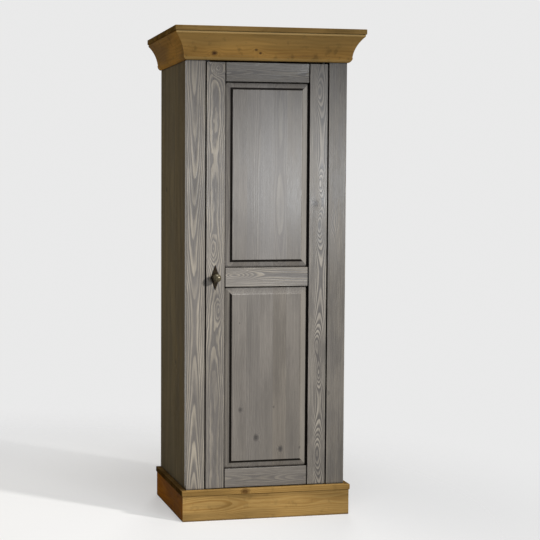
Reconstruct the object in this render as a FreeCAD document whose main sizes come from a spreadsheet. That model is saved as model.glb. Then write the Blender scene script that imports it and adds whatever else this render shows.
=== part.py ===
import FreeCAD, Part
import math
import os
import Sketcher

# A tall one-door linen cupboard. +X is to the right of someone facing the door, +Y to the back and
# +Z up. The origin lies on the floor, under the middle of the cupboard. All sizes are millimetres.

# Driving dimensions: name, size, what it measures
DIMENSIONS = (
    ("overall_height", 1940, "floor to the top of the top board"),
    ("carcass_width", 655, "across the two front posts"),
    ("carcass_depth", 465, "front of the posts to the back"),
    # Plinth and base board
    ("plinth_height", 123, "floor to the top of the base board"),
    ("base_thickness", 21, "base board"),
    ("base_overhang", 21, "base board past the carcass, front and sides"),
    ("plinth_overhang", 17, "plinth boards past the carcass"),
    ("plinth_board", 22, "thickness of the plinth boards"),
    ("corner_block", 35, "glue blocks inside the plinth, both ways"),
    ("corner_block_lift", 12, "glue blocks stay this far off the floor"),
    # Cornice
    ("top_thickness", 20, "top board"),
    ("top_overhang", 60, "top board past the carcass, front and sides"),
    ("moulding_height", 106, "coved moulding under the top board"),
    ("bead_bottom_reach", 6, "width of the moulding's underside"),
    ("bead_reach", 17, "widest point of the bead"),
    ("bead_height", 18, "height of the bead"),
    ("bead_radius", 22, "curve of the bead"),
    ("cove_bottom_reach", 15.5, "start of the cove, behind the bead"),
    ("cove_top_reach", 55.5, "end of the cove, under the top board"),
    ("cove_radius", 127, "curve of the cove"),
    ("cove_lip", 8, "upright lip above the cove"),
    # Carcass
    ("post_width", 75, "front posts"),
    ("post_thickness", 27, "front posts, front to back"),
    ("side_thickness", 20, "side boards"),
    ("back_thickness", 10, "back boards"),
    ("back_rebate", 10, "width of the rebate in the sides for the back"),
    ("back_edge_chamfer", 1.5, "chamfer along the back boards' joints"),
    ("tongue_length", 5, "tongue of a back board"),
    ("tongue_thickness", 3.6, "tongue of a back board"),
    ("back_rail_thickness", 20, "rails that the back is screwed to"),
    ("back_top_rail_height", 80, "upper rail"),
    ("back_bottom_rail_height", 40, "lower rail"),
    ("rail_tenon_length", 20, "tenon of the front rail in the posts"),
    ("rail_tenon_thickness", 9, "the same tenon"),
    ("rail_tenon_shoulder", 14, "its shoulders above and below"),
    ("joint_clearance", 0.1, "all round a tenon, tongue, dowel or screw"),
    ("dowel_diameter", 8, "carcass dowels"),
    ("dowel_length", 28, "carcass dowels"),
    ("dowel_in_board", 11, "depth of a dowel in the base or top board"),
    ("dowel_inset", 80, "dowels from the front and back of a side"),
    # Shelves
    ("shelf_thickness", 18, "shelves"),
    ("shelf_side_clearance", 1.5, "shelf to side"),
    ("shelf_setback", 5, "door stop to the shelves"),
    ("shelf_back_clearance", 3, "shelf to back rails"),
    ("pin_diameter", 5, "shelf pins"),
    ("pin_depth", 10, "shelf pin in the side"),
    ("pin_reach", 11, "shelf pin's flat tongue under the shelf"),
    ("pin_width", 10, "the same tongue"),
    ("pin_inset", 55, "pins from the front and back of a shelf"),
    ("pin_hole_pitch", 32, "holes above and below each pin"),
    # Door frame and panels
    ("door_thickness", 25, "stiles and rails"),
    ("door_gap", 4, "door to posts"),
    ("door_top_gap", 6, "door to cornice"),
    ("door_bottom_gap", 3, "door to base board"),
    ("stile_width", 75, "door stiles"),
    ("rail_width", 75, "door rails"),
    ("middle_rail_centre", 965, "floor to the middle of the middle rail"),
    ("groove_lip", 11, "front of the door to the panel groove"),
    ("groove_depth", 10, "panel groove"),
    ("panel_tongue", 7, "edge of a panel, in the groove"),
    ("panel_clearance", 0.15, "panel to groove, each face"),
    ("panel_edge_gap", 2, "room for a panel to swell, each edge"),
    ("panel_rim", 28, "sloping rim of a panel beside the frame"),
    ("panel_rim_rise", 6.5, "rise of the rim"),
    ("panel_bevel", 31, "frame to the raised field"),
    ("panel_bevel_rise", 2.3, "rise of the step round the field"),
    ("field_setback", 0.5, "raised field behind the face of the door"),
    ("edge_round", 2, "rounded outer edges"),
    ("arris_round", 1.3, "softened edges of frame and panels"),
    # Knob
    ("knob_radius", 16.5, "ball of the knob"),
    ("knob_centre", 26, "plate to the middle of the ball"),
    ("knob_neck_radius", 5.5, "neck"),
    ("knob_foot_radius", 9, "foot"),
    ("knob_foot_height", 2, "foot"),
    ("knob_neck_curve", 7.5, "hollow curve from foot to ball"),
    ("backplate_height", 100, "diamond plate"),
    ("backplate_width", 36, "diamond plate"),
    ("backplate_thickness", 3, "diamond plate"),
    ("backplate_bevel", 1.6, "bevel round the diamond plate"),
    ("bolt_diameter", 4, "bolt that holds the knob"),
    ("bolt_head_diameter", 9, "its head inside the door"),
    ("bolt_head_height", 2.5, "its head inside the door"),
    ("bolt_grip", 13, "its length in the knob"),
    # Pivot hinges
    ("pivot_inset", 15, "hinge edge of the door to the pivot axis"),
    ("pivot_setback", 10, "front of the door to the pivot axis"),
    ("pivot_diameter", 8, "pivot pins"),
    ("pivot_clearance", 0.08, "pin to plate, on the radius"),
    ("pivot_room", 0.6, "pin to wood, on the radius and at its end"),
    ("pivot_engagement", 14, "pin in the door, past the plate"),
    ("pivot_case_reach", 6, "upper pin in the front rail, past the plate"),
    ("plate_length", 44, "pivot plates"),
    ("plate_width", 16, "pivot plates"),
    ("plate_thickness", 3, "pivot plates"),
    ("plate_end", 9, "pivot axis to the near end of a plate"),
    ("plate_screw_near", 15, "pivot axis to the first screw"),
    ("plate_screw_far", 28, "pivot axis to the second screw"),
    ("washer_diameter", 15, "thrust washer under the door"),
    ("washer_play", 0.1, "thrust washer to the door's plate"),
    # Countersunk screws
    ("screw_diameter", 3.2, "shank"),
    ("screw_head_diameter", 6.4, "head"),
    ("screw_length", 16, "whole length"),
    ("strike_screw_length", 12, "short screws of the catch strikes"),
    ("back_screw_inset", 22, "back screws from the edges of a board"),
    # Door stop and catches
    ("stop_overlap", 24, "stop inside the door opening"),
    ("stop_behind_post", 25, "stop behind the post"),
    ("stop_thickness", 18, "stop, front to back"),
    ("stop_screw_end", 60, "end screws from the ends of the stop"),
    ("stop_screw_length", 30, "long screws of the stop"),
    ("magnet_diameter", 11, "catch magnets"),
    ("magnet_length", 14, "catch magnets"),
    ("magnet_proud", 0.3, "magnets in front of the stop"),
    ("catch_gap", 0.2, "strikes of the closed door to the magnets"),
    ("catch_height", 250, "catches from the ends of the door"),
    ("strike_width", 14, "steel strikes"),
    ("strike_height", 30, "steel strikes"),
    ("strike_thickness", 1.5, "steel strikes"),
    ("cut_over", 2, "cutting tools stand past the piece"),
)

# Places and sizes worked out from the driving dimensions
WORKED_OUT = (
    ("half_width", "Dims.carcass_width / 2"),
    ("back_y", "(Dims.carcass_depth + Dims.top_overhang) / 2"),
    ("front_y", "back_y - Dims.carcass_depth"),
    ("base_bottom", "Dims.plinth_height - Dims.base_thickness"),
    ("top_board_z", "Dims.overall_height - Dims.top_thickness"),
    ("cornice_z", "top_board_z - Dims.moulding_height"),
    ("cove_top_height", "Dims.moulding_height - Dims.cove_lip"),
    ("carcass_height", "top_board_z - Dims.plinth_height"),
    ("plinth_inner_reach", "Dims.plinth_overhang - Dims.plinth_board"),
    ("inner_left", "Dims.side_thickness - half_width"),
    ("inner_width", "Dims.carcass_width - 2 * Dims.side_thickness"),
    ("side_front_y", "front_y + Dims.post_thickness"),
    ("opening_left", "Dims.post_width - half_width"),
    ("opening_width", "Dims.carcass_width - 2 * Dims.post_width"),
    # Back
    ("back_left", "inner_left - Dims.back_rebate"),
    ("back_width", "inner_width + 2 * Dims.back_rebate"),
    ("back_inner_y", "back_y - Dims.back_thickness"),
    ("back_rail_y", "back_inner_y - Dims.back_rail_thickness"),
    ("back_top_rail_z", "top_board_z - Dims.back_top_rail_height"),
    ("tongue_y", "back_y - (Dims.back_thickness + Dims.tongue_thickness) / 2"),
    ("upper_back_screw_z", "top_board_z - Dims.back_top_rail_height / 2"),
    ("lower_back_screw_z", "Dims.plinth_height + Dims.back_bottom_rail_height / 2"),
    # Dowels
    ("dowel_bore_radius", "Dims.dowel_diameter / 2 + Dims.joint_clearance"),
    ("dowel_in_side", "Dims.dowel_length - Dims.dowel_in_board"),
    ("side_middle_x", "half_width - Dims.side_thickness / 2"),
    ("post_middle_x", "half_width - Dims.post_width / 2"),
    ("post_middle_y", "front_y + Dims.post_thickness / 2"),
    ("dowel_front_y", "side_front_y + Dims.dowel_inset"),
    ("dowel_back_y", "back_y - Dims.dowel_inset"),
    # Door
    ("door_left", "opening_left + Dims.door_gap"),
    ("door_right", "-door_left"),
    ("door_bottom", "Dims.plinth_height + Dims.door_bottom_gap"),
    ("door_top", "cornice_z - Dims.door_top_gap"),
    ("door_height", "door_top - door_bottom"),
    ("door_back_y", "front_y + Dims.door_thickness"),
    ("rail_left", "door_left + Dims.stile_width"),
    ("rail_right", "-rail_left"),
    ("rail_length", "rail_right - rail_left"),
    ("top_door_rail_z", "door_top - Dims.rail_width"),
    ("middle_rail_z", "Dims.middle_rail_centre - Dims.rail_width / 2"),
    ("upper_panel_z", "middle_rail_z + Dims.rail_width"),
    ("upper_panel_height", "top_door_rail_z - upper_panel_z"),
    ("lower_panel_z", "door_bottom + Dims.rail_width"),
    ("lower_panel_height", "middle_rail_z - lower_panel_z"),
    ("groove_y", "front_y + Dims.groove_lip"),
    ("groove_width", "Dims.panel_tongue + 2 * Dims.panel_clearance"),
    ("panel_front_y", "groove_y + Dims.panel_clearance"),
    ("panel_tuck", "Dims.groove_depth - Dims.panel_edge_gap"),
    ("rim_front_y", "panel_front_y - Dims.panel_rim_rise"),
    ("bevel_front_y", "rim_front_y - Dims.panel_bevel_rise"),
    ("field_y", "front_y + Dims.field_setback"),
    ("bevel_run", "Dims.panel_bevel - Dims.panel_rim"),
    # Knob
    ("knob_x", "door_left + Dims.stile_width / 2"),
    ("plate_front_y", "front_y - Dims.backplate_thickness"),
    ("plate_half_width", "Dims.backplate_width / 2"),
    ("plate_half_height", "Dims.backplate_height / 2"),
    ("knob_neck_top", "Dims.knob_centre - sqrt(Dims.knob_radius^2 - Dims.knob_neck_radius^2)"),
    ("knob_front", "Dims.knob_centre + Dims.knob_radius"),
    ("bolt_bore_radius", "Dims.bolt_diameter / 2 + Dims.joint_clearance"),
    ("bolt_reach", "Dims.door_thickness + Dims.backplate_thickness + Dims.bolt_grip"),
    # Pivot hinges
    ("hinge_x", "door_right - Dims.pivot_inset"),
    ("hinge_y", "front_y + Dims.pivot_setback"),
    ("plate_left", "hinge_x + Dims.plate_end - Dims.plate_length"),
    ("plate_y", "hinge_y - Dims.plate_width / 2"),
    ("near_screw_x", "hinge_x - Dims.plate_screw_near"),
    ("far_screw_x", "hinge_x - Dims.plate_screw_far"),
    ("pivot_radius", "Dims.pivot_diameter / 2"),
    ("pivot_hole_radius", "pivot_radius + Dims.pivot_clearance"),
    ("pivot_bore_radius", "pivot_radius + Dims.pivot_room"),
    ("pivot_bore_depth", "Dims.plate_thickness + Dims.pivot_engagement + Dims.pivot_room"),
    ("lower_pin_length", "2 * Dims.plate_thickness + Dims.door_bottom_gap + Dims.pivot_engagement"),
    ("upper_pin_z", "door_top - Dims.plate_thickness - Dims.pivot_engagement"),
    ("upper_pin_top", "cornice_z + Dims.plate_thickness + Dims.pivot_case_reach"),
    # Screws
    ("screw_bore_radius", "Dims.screw_diameter / 2 + Dims.joint_clearance"),
    ("screw_head_height", "(Dims.screw_head_diameter - Dims.screw_diameter) / 2"),
    ("screw_seat_radius", "Dims.screw_head_diameter / 2 + Dims.joint_clearance"),
    ("screw_bore_depth", "Dims.screw_length + Dims.joint_clearance"),
    ("strike_bore_depth", "Dims.strike_screw_length + Dims.joint_clearance"),
    # Door stop and catches
    ("strike_back_y", "door_back_y + Dims.strike_thickness"),
    ("magnet_y", "strike_back_y + Dims.catch_gap"),
    ("stop_front_y", "magnet_y + Dims.magnet_proud"),
    ("stop_back_y", "max(stop_front_y; side_front_y) + Dims.stop_thickness"),
    ("stop_left", "opening_left - Dims.stop_behind_post"),
    ("stop_height", "cornice_z - Dims.plinth_height"),
    ("stop_screw_x", "opening_left - Dims.stop_behind_post / 2"),
    ("stop_bore_depth", "Dims.stop_screw_length + Dims.joint_clearance"),
    ("catch_x", "(door_left + opening_left + Dims.stop_overlap) / 2"),
    ("lower_catch_z", "door_bottom + Dims.catch_height"),
    ("upper_catch_z", "door_top - Dims.catch_height"),
    # Shelves
    ("shelf_left", "inner_left + Dims.shelf_side_clearance"),
    ("shelf_width", "inner_width - 2 * Dims.shelf_side_clearance"),
    ("shelf_front_y", "stop_back_y + Dims.shelf_setback"),
    ("shelf_depth", "back_rail_y - Dims.shelf_back_clearance - shelf_front_y"),
    ("pin_front_y", "shelf_front_y + Dims.pin_inset"),
    ("pin_back_y", "shelf_front_y + shelf_depth - Dims.pin_inset"),
    ("pin_bore_radius", "Dims.pin_diameter / 2 + Dims.joint_clearance"),
)

BACK_BOARD_COUNT = 6
SHELF_COUNT = 4
STOP_SCREW_COUNT = 5
PIN_HOLE_STEPS = (-1, 0, 1)

Vector = FreeCAD.Vector
X_AXIS = Vector(1, 0, 0)
Y_AXIS = Vector(0, 1, 0)
Z_AXIS = Vector(0, 0, 1)

# Turns that point a bore or a screw, drawn along +Z, along another axis
POINTING = {
    "+x": FreeCAD.Rotation(Y_AXIS, 90),
    "-x": FreeCAD.Rotation(Y_AXIS, -90),
    "+y": FreeCAD.Rotation(X_AXIS, -90),
    "-y": FreeCAD.Rotation(X_AXIS, 90),
    "+z": FreeCAD.Rotation(),
    "-z": FreeCAD.Rotation(X_AXIS, 180),
}

doc = FreeCAD.newDocument("linen_cupboard")
pieces = []


def make_sheet(name, rows):
    """A sheet with one named cell a row and, beside it, what the cell means."""
    sheet = doc.addObject("Spreadsheet::Sheet", name)
    for number, (alias, content, meaning) in enumerate(rows, start=1):
        sheet.set(f"A{number}", meaning)
        sheet.set(f"B{number}", content)
        sheet.setAlias(f"B{number}", alias)
    doc.recompute()
    return sheet


dims = make_sheet("Dims", [(alias, str(size), meaning) for alias, size, meaning in DIMENSIONS])
layout = make_sheet("Layout", [(alias, "=" + formula, alias) for alias, formula in WORKED_OUT])
CELLS = {alias: "Dims." + alias for alias, _, _ in DIMENSIONS}
CELLS.update({alias: "Layout." + alias for alias, _ in WORKED_OUT})


def value(name):
    """The size in a named cell, or its negative for a name after a minus sign; 0 for a plain 0."""
    if name == "0":
        return 0.0
    if name.startswith("-"):
        return -value(name[1:])
    sheet = dims if CELLS[name].startswith("Dims.") else layout
    return float(sheet.get(name))


def reference(name):
    """The same cell as text for an expression."""
    if name == "0":
        return "0"
    if name.startswith("-"):
        return "-" + reference(name[1:])
    return CELLS[name]


def new_piece(label):
    """A piece of the cupboard, made of features."""
    body = doc.addObject("PartDesign::Body", label)
    body.Label = label
    pieces.append(body)
    return body


def set_place(obj, place):
    for axis, expression in zip("xyz", place):
        obj.setExpression("Placement.Base." + axis, expression)


def box_feature(body, kind, size, corner, turn):
    box = body.newObject(f"PartDesign::{kind}Box", kind.lower() + "_box")
    for side, expression in zip(("Length", "Width", "Height"), size):
        box.setExpression(side, expression)
    box.Placement = FreeCAD.Placement(Vector(), turn)
    set_place(box, corner)
    return box


def add_box(body, size, corner):
    return box_feature(body, "Additive", size, corner, FreeCAD.Rotation())


def cut_box(body, size, corner, turn=FreeCAD.Rotation()):
    return box_feature(body, "Subtractive", size, corner, turn)


def round_feature(body, kind, radius, length, start, pointing):
    rod = body.newObject(f"PartDesign::{kind}Cylinder", kind.lower() + "_rod")
    rod.setExpression("Radius", radius)
    rod.setExpression("Height", length)
    rod.Placement = FreeCAD.Placement(Vector(), POINTING[pointing])
    set_place(rod, start)
    return rod


def add_rod(body, radius, length, start, pointing="+z"):
    return round_feature(body, "Additive", radius, length, start, pointing)


def cut_bore(body, radius, depth, start, pointing="+z"):
    return round_feature(body, "Subtractive", radius, depth, start, pointing)


def cut_screw_bore(body, start, pointing, depth="Layout.screw_bore_depth"):
    cut_bore(body, "Layout.screw_bore_radius", depth, start, pointing)


def cut_screw_seat(body, start, pointing, depth="Layout.screw_bore_depth"):
    """A countersink and its bore, for a screw whose head lies flush at start."""
    seat = body.newObject("PartDesign::SubtractiveCone", "countersink")
    seat.setExpression("Radius1", "Layout.screw_seat_radius")
    seat.setExpression("Radius2", "Layout.screw_bore_radius")
    seat.setExpression("Height", "Layout.screw_head_height")
    seat.Placement = FreeCAD.Placement(Vector(), POINTING[pointing])
    set_place(seat, start)
    cut_screw_bore(body, start, pointing, depth)


def edges_along(body, along, across, places):
    """Names of the straight edges along one axis whose middle has one of the places on another."""
    spans = {"x": "XLength", "y": "YLength", "z": "ZLength"}
    doc.recompute()
    names = []
    for number, edge in enumerate(body.Tip.Shape.Edges, start=1):
        straight = abs(getattr(edge.BoundBox, spans[along]) - edge.Length) < 1e-3
        middle = getattr(edge.CenterOfMass, across)
        if straight and any(abs(middle - place) < 1e-3 for place in places):
            names.append(f"Edge{number}")
    return names


def round_edges(body, radius, edges):
    base = body.Tip
    rounding = body.newObject("PartDesign::Fillet", "rounded_edges")
    rounding.Base = (base, edges)
    rounding.setExpression("Radius", radius)
    body.Tip = rounding
    doc.recompute()


def chamfer_edges(body, size, edges):
    base = body.Tip
    chamfer = body.newObject("PartDesign::Chamfer", "chamfered_edges")
    chamfer.Base = (base, edges)
    chamfer.setExpression("Size", size)
    body.Tip = chamfer
    doc.recompute()


def outline(body, name, plane_role, corners, arcs=None):
    """A closed outline through corners given as pairs of cell names. arcs turns a side, by its
    number, into an arc: a radius cell, and the side of the way round that its centre lies on."""
    arcs = arcs or {}
    sketch = body.newObject("Sketcher::SketchObject", name)
    plane = next(o for o in body.Origin.OriginFeatures if o.Role == plane_role)
    sketch.AttachmentSupport = [(plane, "")]
    sketch.MapMode = "FlatFace"
    points = [Vector(value(across), value(up), 0) for across, up in corners]
    ends = []
    for side, start in enumerate(points):
        end = points[(side + 1) % len(points)]
        if side not in arcs:
            geometry = sketch.addGeometry(Part.LineSegment(start, end))
            ends.append((geometry, 1, 2))
            continue
        radius_cell, hand = arcs[side]
        radius = value(radius_cell)
        chord = end - start
        leftward = Vector(-chord.y, chord.x, 0).normalize()
        height = math.sqrt(radius ** 2 - (chord.Length / 2) ** 2)
        centre = (start + end) * 0.5 + leftward * (height if hand == "left" else -height)
        first, last = (start, end) if hand == "left" else (end, start)
        angles = [math.atan2(p.y - centre.y, p.x - centre.x) for p in (first, last)]
        arc = Part.ArcOfCircle(Part.Circle(centre, Z_AXIS, radius), *angles)
        geometry = sketch.addGeometry(arc)
        ends.append((geometry, 1, 2) if hand == "left" else (geometry, 2, 1))
        number = sketch.addConstraint(Sketcher.Constraint("Radius", geometry, radius))
        sketch.setExpression(f"Constraints[{number}]", reference(radius_cell))
    for side, (geometry, start_end, _) in enumerate(ends):
        before, _, far_end = ends[side - 1]
        sketch.addConstraint(Sketcher.Constraint("Coincident", before, far_end, geometry, start_end))
        for kind, cell in zip(("DistanceX", "DistanceY"), corners[side]):
            place = Sketcher.Constraint(kind, -1, 1, geometry, start_end, value(cell))
            number = sketch.addConstraint(place)
            sketch.setExpression(f"Constraints[{number}]", reference(cell))
    return sketch


def pad(body, sketch, length):
    feature = body.newObject("PartDesign::Pad", "pad")
    feature.Profile = sketch
    feature.setExpression("Length", length)
    body.Tip = feature
    return feature


def turned(body, sketch):
    """A solid of revolution about the sketch's upright axis."""
    feature = body.newObject("PartDesign::Revolution", "turning")
    feature.Profile = sketch
    feature.ReferenceAxis = (sketch, ["V_Axis"])
    feature.Angle = 360
    body.Tip = feature
    return feature


def group(label, master, places):
    """One node of equal small pieces: each place is three expressions and a turn."""
    doc.recompute()
    copies = []
    for place, turn in places:
        copy = doc.addObject("Part::Feature", label + "_copy")
        copy.Shape = master.Shape
        copy.Placement = FreeCAD.Placement(Vector(), turn)
        set_place(copy, place)
        copies.append(copy)
    compound = doc.addObject("Part::Compound", label)
    compound.Label = label
    compound.Links = copies
    pieces.append(compound)
    return compound


def make_screw(name, length):
    """The pattern of a countersunk screw: its flush head at the origin, its point along +Z."""
    head = doc.addObject("Part::Cone", name + "_head")
    head.setExpression("Radius1", "Dims.screw_head_diameter / 2")
    head.setExpression("Radius2", "Dims.screw_diameter / 2")
    head.setExpression("Height", "Layout.screw_head_height")
    shank = doc.addObject("Part::Cylinder", name + "_shank")
    shank.setExpression("Radius", "Dims.screw_diameter / 2")
    shank.setExpression("Height", length)
    screw = doc.addObject("Part::Fuse", name)
    screw.Base = head
    screw.Tool = shank
    return screw


# The directions of a run of moulding: its reach, its height and its length
FRONT_RUN = FreeCAD.Rotation(-Y_AXIS, Z_AXIS, -X_AXIS, "XYZ")
LEFT_RUN = FreeCAD.Rotation(-X_AXIS, Z_AXIS, Y_AXIS, "XYZ")
RIGHT_RUN = FreeCAD.Rotation(X_AXIS, Z_AXIS, -Y_AXIS, "XYZ")

# Each run: its direction, the carcass corner that it starts from, where it begins and ends along
# the carcass, and whether each end is mitred
RUNS = {
    "front": (FRONT_RUN, ("0", "Layout.front_y"), "-Layout.half_width", "Layout.half_width", True, True),
    "left": (LEFT_RUN, ("-Layout.half_width", "Layout.front_y"), "0", "Dims.carcass_depth", True, False),
    "right": (RIGHT_RUN, ("Layout.half_width", "Layout.front_y"), "-Dims.carcass_depth", "0", False, True),
}


def make_run(label, side, draw, inner_reach, outer_reach, height, bottom):
    """One mitred length of plinth or cornice, drawn along its own axes and turned into place."""
    turn, (corner_x, corner_y), begin, end, begin_mitred, end_mitred = RUNS[side]
    body = new_piece(label)
    low = f"{begin} - {outer_reach}" if begin_mitred else begin
    high = f"{end} + {outer_reach}" if end_mitred else end
    draw(body, low, f"({high}) - ({low})")
    waste = f"2 * ({outer_reach} - ({inner_reach}))"
    waste_size = (waste, f"{height} + 2 * Dims.cut_over", waste)
    if end_mitred:
        start = (inner_reach, "-Dims.cut_over", f"{end} + ({inner_reach})")
        cut_box(body, waste_size, start, FreeCAD.Rotation(Y_AXIS, -45))
    if begin_mitred:
        start = (inner_reach, "-Dims.cut_over", f"{begin} - ({inner_reach})")
        cut_box(body, waste_size, start, FreeCAD.Rotation(Y_AXIS, 135))
    body.Placement = FreeCAD.Placement(Vector(), turn)
    set_place(body, (corner_x, corner_y, bottom))
    return body


# Plinth and base board
def draw_plinth_board(body, low, length):
    add_box(body, ("Dims.plinth_board", "Layout.base_bottom", length),
            ("Layout.plinth_inner_reach", "0", low))


for side in RUNS:
    make_run("plinth_" + side, side, draw_plinth_board, "Layout.plinth_inner_reach",
             "Dims.plinth_overhang", "Layout.base_bottom", "0")

PLINTH_INSIDE = "Dims.carcass_width + 2 * Layout.plinth_inner_reach"
plinth_back = new_piece("plinth_back")
add_box(plinth_back, (PLINTH_INSIDE, "Dims.plinth_board", "Layout.base_bottom"),
        ("-Layout.half_width - Layout.plinth_inner_reach", "Layout.back_y - Dims.plinth_board", "0"))


def make_corner_blocks():
    block = doc.addObject("Part::Box", "corner_block")
    block.setExpression("Length", "Dims.corner_block")
    block.setExpression("Width", "Dims.corner_block")
    block.setExpression("Height", "Layout.base_bottom - Dims.corner_block_lift")
    left = "-Layout.half_width - Layout.plinth_inner_reach"
    right = "Layout.half_width + Layout.plinth_inner_reach - Dims.corner_block"
    front = "Layout.front_y - Layout.plinth_inner_reach"
    back = "Layout.back_y - Dims.plinth_board - Dims.corner_block"
    corners = [(x, y, "Dims.corner_block_lift") for x in (left, right) for y in (front, back)]
    group("plinth_corner_blocks", block, [(corner, FreeCAD.Rotation()) for corner in corners])


make_corner_blocks()


def dowel_places():
    """Each carcass dowel: the piece that it stands in, and its place in plan."""
    for side, sign in (("left", "-"), ("right", "")):
        yield "post_" + side, sign + "Layout.post_middle_x", "Layout.post_middle_y"
        yield "side_" + side, sign + "Layout.side_middle_x", "Layout.dowel_front_y"
        yield "side_" + side, sign + "Layout.side_middle_x", "Layout.dowel_back_y"


def round_outer_edges(body, overhang):
    """Round a board's front and side edges, and its front corners."""
    left = -value("half_width") - value(overhang)
    front = value("front_y") - value(overhang)
    edges = edges_along(body, "x", "y", (front,))
    edges += edges_along(body, "y", "x", (left, -left))
    edges += edges_along(body, "z", "y", (front,))
    round_edges(body, "Dims.edge_round", edges)


def make_wide_board(label, thickness, overhang, bottom):
    """A board that stands past the carcass at the front and the sides."""
    past = reference(overhang)
    body = new_piece(label)
    add_box(body, (f"Dims.carcass_width + 2 * {past}", f"Dims.carcass_depth + {past}", thickness),
            (f"-Layout.half_width - {past}", f"Layout.front_y - {past}", bottom))
    round_outer_edges(body, overhang)
    return body


PLATE_SCREWS_X = ("Layout.near_screw_x", "Layout.far_screw_x")


def cut_pivot_plate(body, face_z, pointing):
    """A recess for a pivot plate in a face at face_z, with the bores of its two screws."""
    floor_z = face_z if pointing == "+z" else f"{face_z} - Dims.plate_thickness"
    cut_box(body, ("Dims.plate_length", "Dims.plate_width", "Dims.plate_thickness"),
            ("Layout.plate_left", "Layout.plate_y", floor_z))
    for x in PLATE_SCREWS_X:
        cut_screw_bore(body, (x, "Layout.hinge_y", face_z), pointing)


base_board = make_wide_board("base_board", "Dims.base_thickness", "base_overhang", "Layout.base_bottom")
for _, x, y in dowel_places():
    cut_bore(base_board, "Layout.dowel_bore_radius", "Dims.dowel_in_board",
             (x, y, "Dims.plinth_height"), "-z")
cut_pivot_plate(base_board, "Dims.plinth_height", "-z")

# Top board and cornice
top_board = make_wide_board("top_board", "Dims.top_thickness", "top_overhang", "Layout.top_board_z")
for _, x, y in dowel_places():
    cut_bore(top_board, "Layout.dowel_bore_radius", "Dims.dowel_in_board",
             (x, y, "Layout.top_board_z"), "+z")

CORNICE_OUTLINE = (
    ("0", "0"),
    ("bead_bottom_reach", "0"),
    ("bead_reach", "bead_height"),
    ("cove_bottom_reach", "bead_height"),
    ("cove_top_reach", "cove_top_height"),
    ("cove_top_reach", "moulding_height"),
    ("0", "moulding_height"),
)
CORNICE_ARCS = {1: ("bead_radius", "left"), 3: ("cove_radius", "right")}


def draw_cornice(body, low, length):
    sketch = outline(body, "cornice_outline", "XY_Plane", CORNICE_OUTLINE, CORNICE_ARCS)
    sketch.setExpression("AttachmentOffset.Base.z", low)
    pad(body, sketch, length)


for side in RUNS:
    make_run("cornice_" + side, side, draw_cornice, "0", "Dims.cove_top_reach", "Dims.moulding_height",
             "Layout.cornice_z")


# Front posts and side boards
def make_post(side):
    left = "-Layout.half_width" if side == "left" else "Layout.half_width - Dims.post_width"
    inner_x = "Layout.opening_left" if side == "left" else "-Layout.opening_left"
    body = new_piece("post_" + side)
    add_box(body, ("Dims.post_width", "Dims.post_thickness", "Layout.carcass_height"),
            (left, "Layout.front_y", "Dims.plinth_height"))
    round_edges(body, "Dims.edge_round", edges_along(body, "z", "y", (value("front_y"),)))
    mortise_depth = "Dims.rail_tenon_length + Dims.joint_clearance"
    mortise_x = f"{inner_x} - ({mortise_depth})" if side == "left" else inner_x
    cut_box(body, (mortise_depth, "Dims.rail_tenon_thickness + 2 * Dims.joint_clearance",
                   "Dims.moulding_height - 2 * (Dims.rail_tenon_shoulder - Dims.joint_clearance)"),
            (mortise_x, "Layout.post_middle_y - Dims.rail_tenon_thickness / 2 - Dims.joint_clearance",
             "Layout.cornice_z + Dims.rail_tenon_shoulder - Dims.joint_clearance"))
    return body


def make_side(side):
    left = "-Layout.half_width" if side == "left" else "Layout.half_width - Dims.side_thickness"
    inner_x = "Layout.inner_left" if side == "left" else "-Layout.inner_left"
    rebate_x = "Layout.back_left" if side == "left" else "-Layout.inner_left"
    outward = "-x" if side == "left" else "+x"
    body = new_piece("side_" + side)
    add_box(body, ("Dims.side_thickness", "Layout.back_y - Layout.side_front_y", "Layout.carcass_height"),
            (left, "Layout.side_front_y", "Dims.plinth_height"))
    cut_box(body, ("Dims.back_rebate", "Dims.back_thickness", "Layout.carcass_height"),
            (rebate_x, "Layout.back_inner_y", "Dims.plinth_height"))
    for number in range(1, SHELF_COUNT + 1):
        for step in PIN_HOLE_STEPS:
            for y in ("Layout.pin_front_y", "Layout.pin_back_y"):
                z = f"{pin_z(number)} + {step} * Dims.pin_hole_pitch"
                cut_bore(body, "Layout.pin_bore_radius", "Dims.pin_depth + Dims.joint_clearance",
                         (inner_x, y, z), outward)
    return body


def shelf_z(number):
    """Underside of a shelf: the shelves part the inside into equal spaces."""
    space = f"(Layout.carcass_height - {SHELF_COUNT} * Dims.shelf_thickness) / {SHELF_COUNT + 1}"
    return f"Dims.plinth_height + {number} * {space} + {number - 1} * Dims.shelf_thickness"


def pin_z(number):
    return f"{shelf_z(number)} - Dims.pin_diameter / 2"


uprights = {"post_" + side: make_post(side) for side in ("left", "right")}
uprights.update({"side_" + side: make_side(side) for side in ("left", "right")})
for upright, x, y in dowel_places():
    for end_z, pointing in (("Dims.plinth_height", "+z"), ("Layout.top_board_z", "-z")):
        cut_bore(uprights[upright], "Layout.dowel_bore_radius", "Layout.dowel_in_side",
                 (x, y, end_z), pointing)


def make_dowels():
    dowel = doc.addObject("Part::Cylinder", "carcass_dowel")
    dowel.setExpression("Radius", "Dims.dowel_diameter / 2")
    dowel.setExpression("Height", "Dims.dowel_length")
    places = [(x, y) for _, x, y in dowel_places()]
    low = "Dims.plinth_height - Dims.dowel_in_board"
    high = "Layout.top_board_z - Layout.dowel_in_side"
    group("base_dowels", dowel, [((x, y, low), FreeCAD.Rotation()) for x, y in places])
    group("top_dowels", dowel, [((x, y, high), FreeCAD.Rotation()) for x, y in places])


make_dowels()


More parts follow.
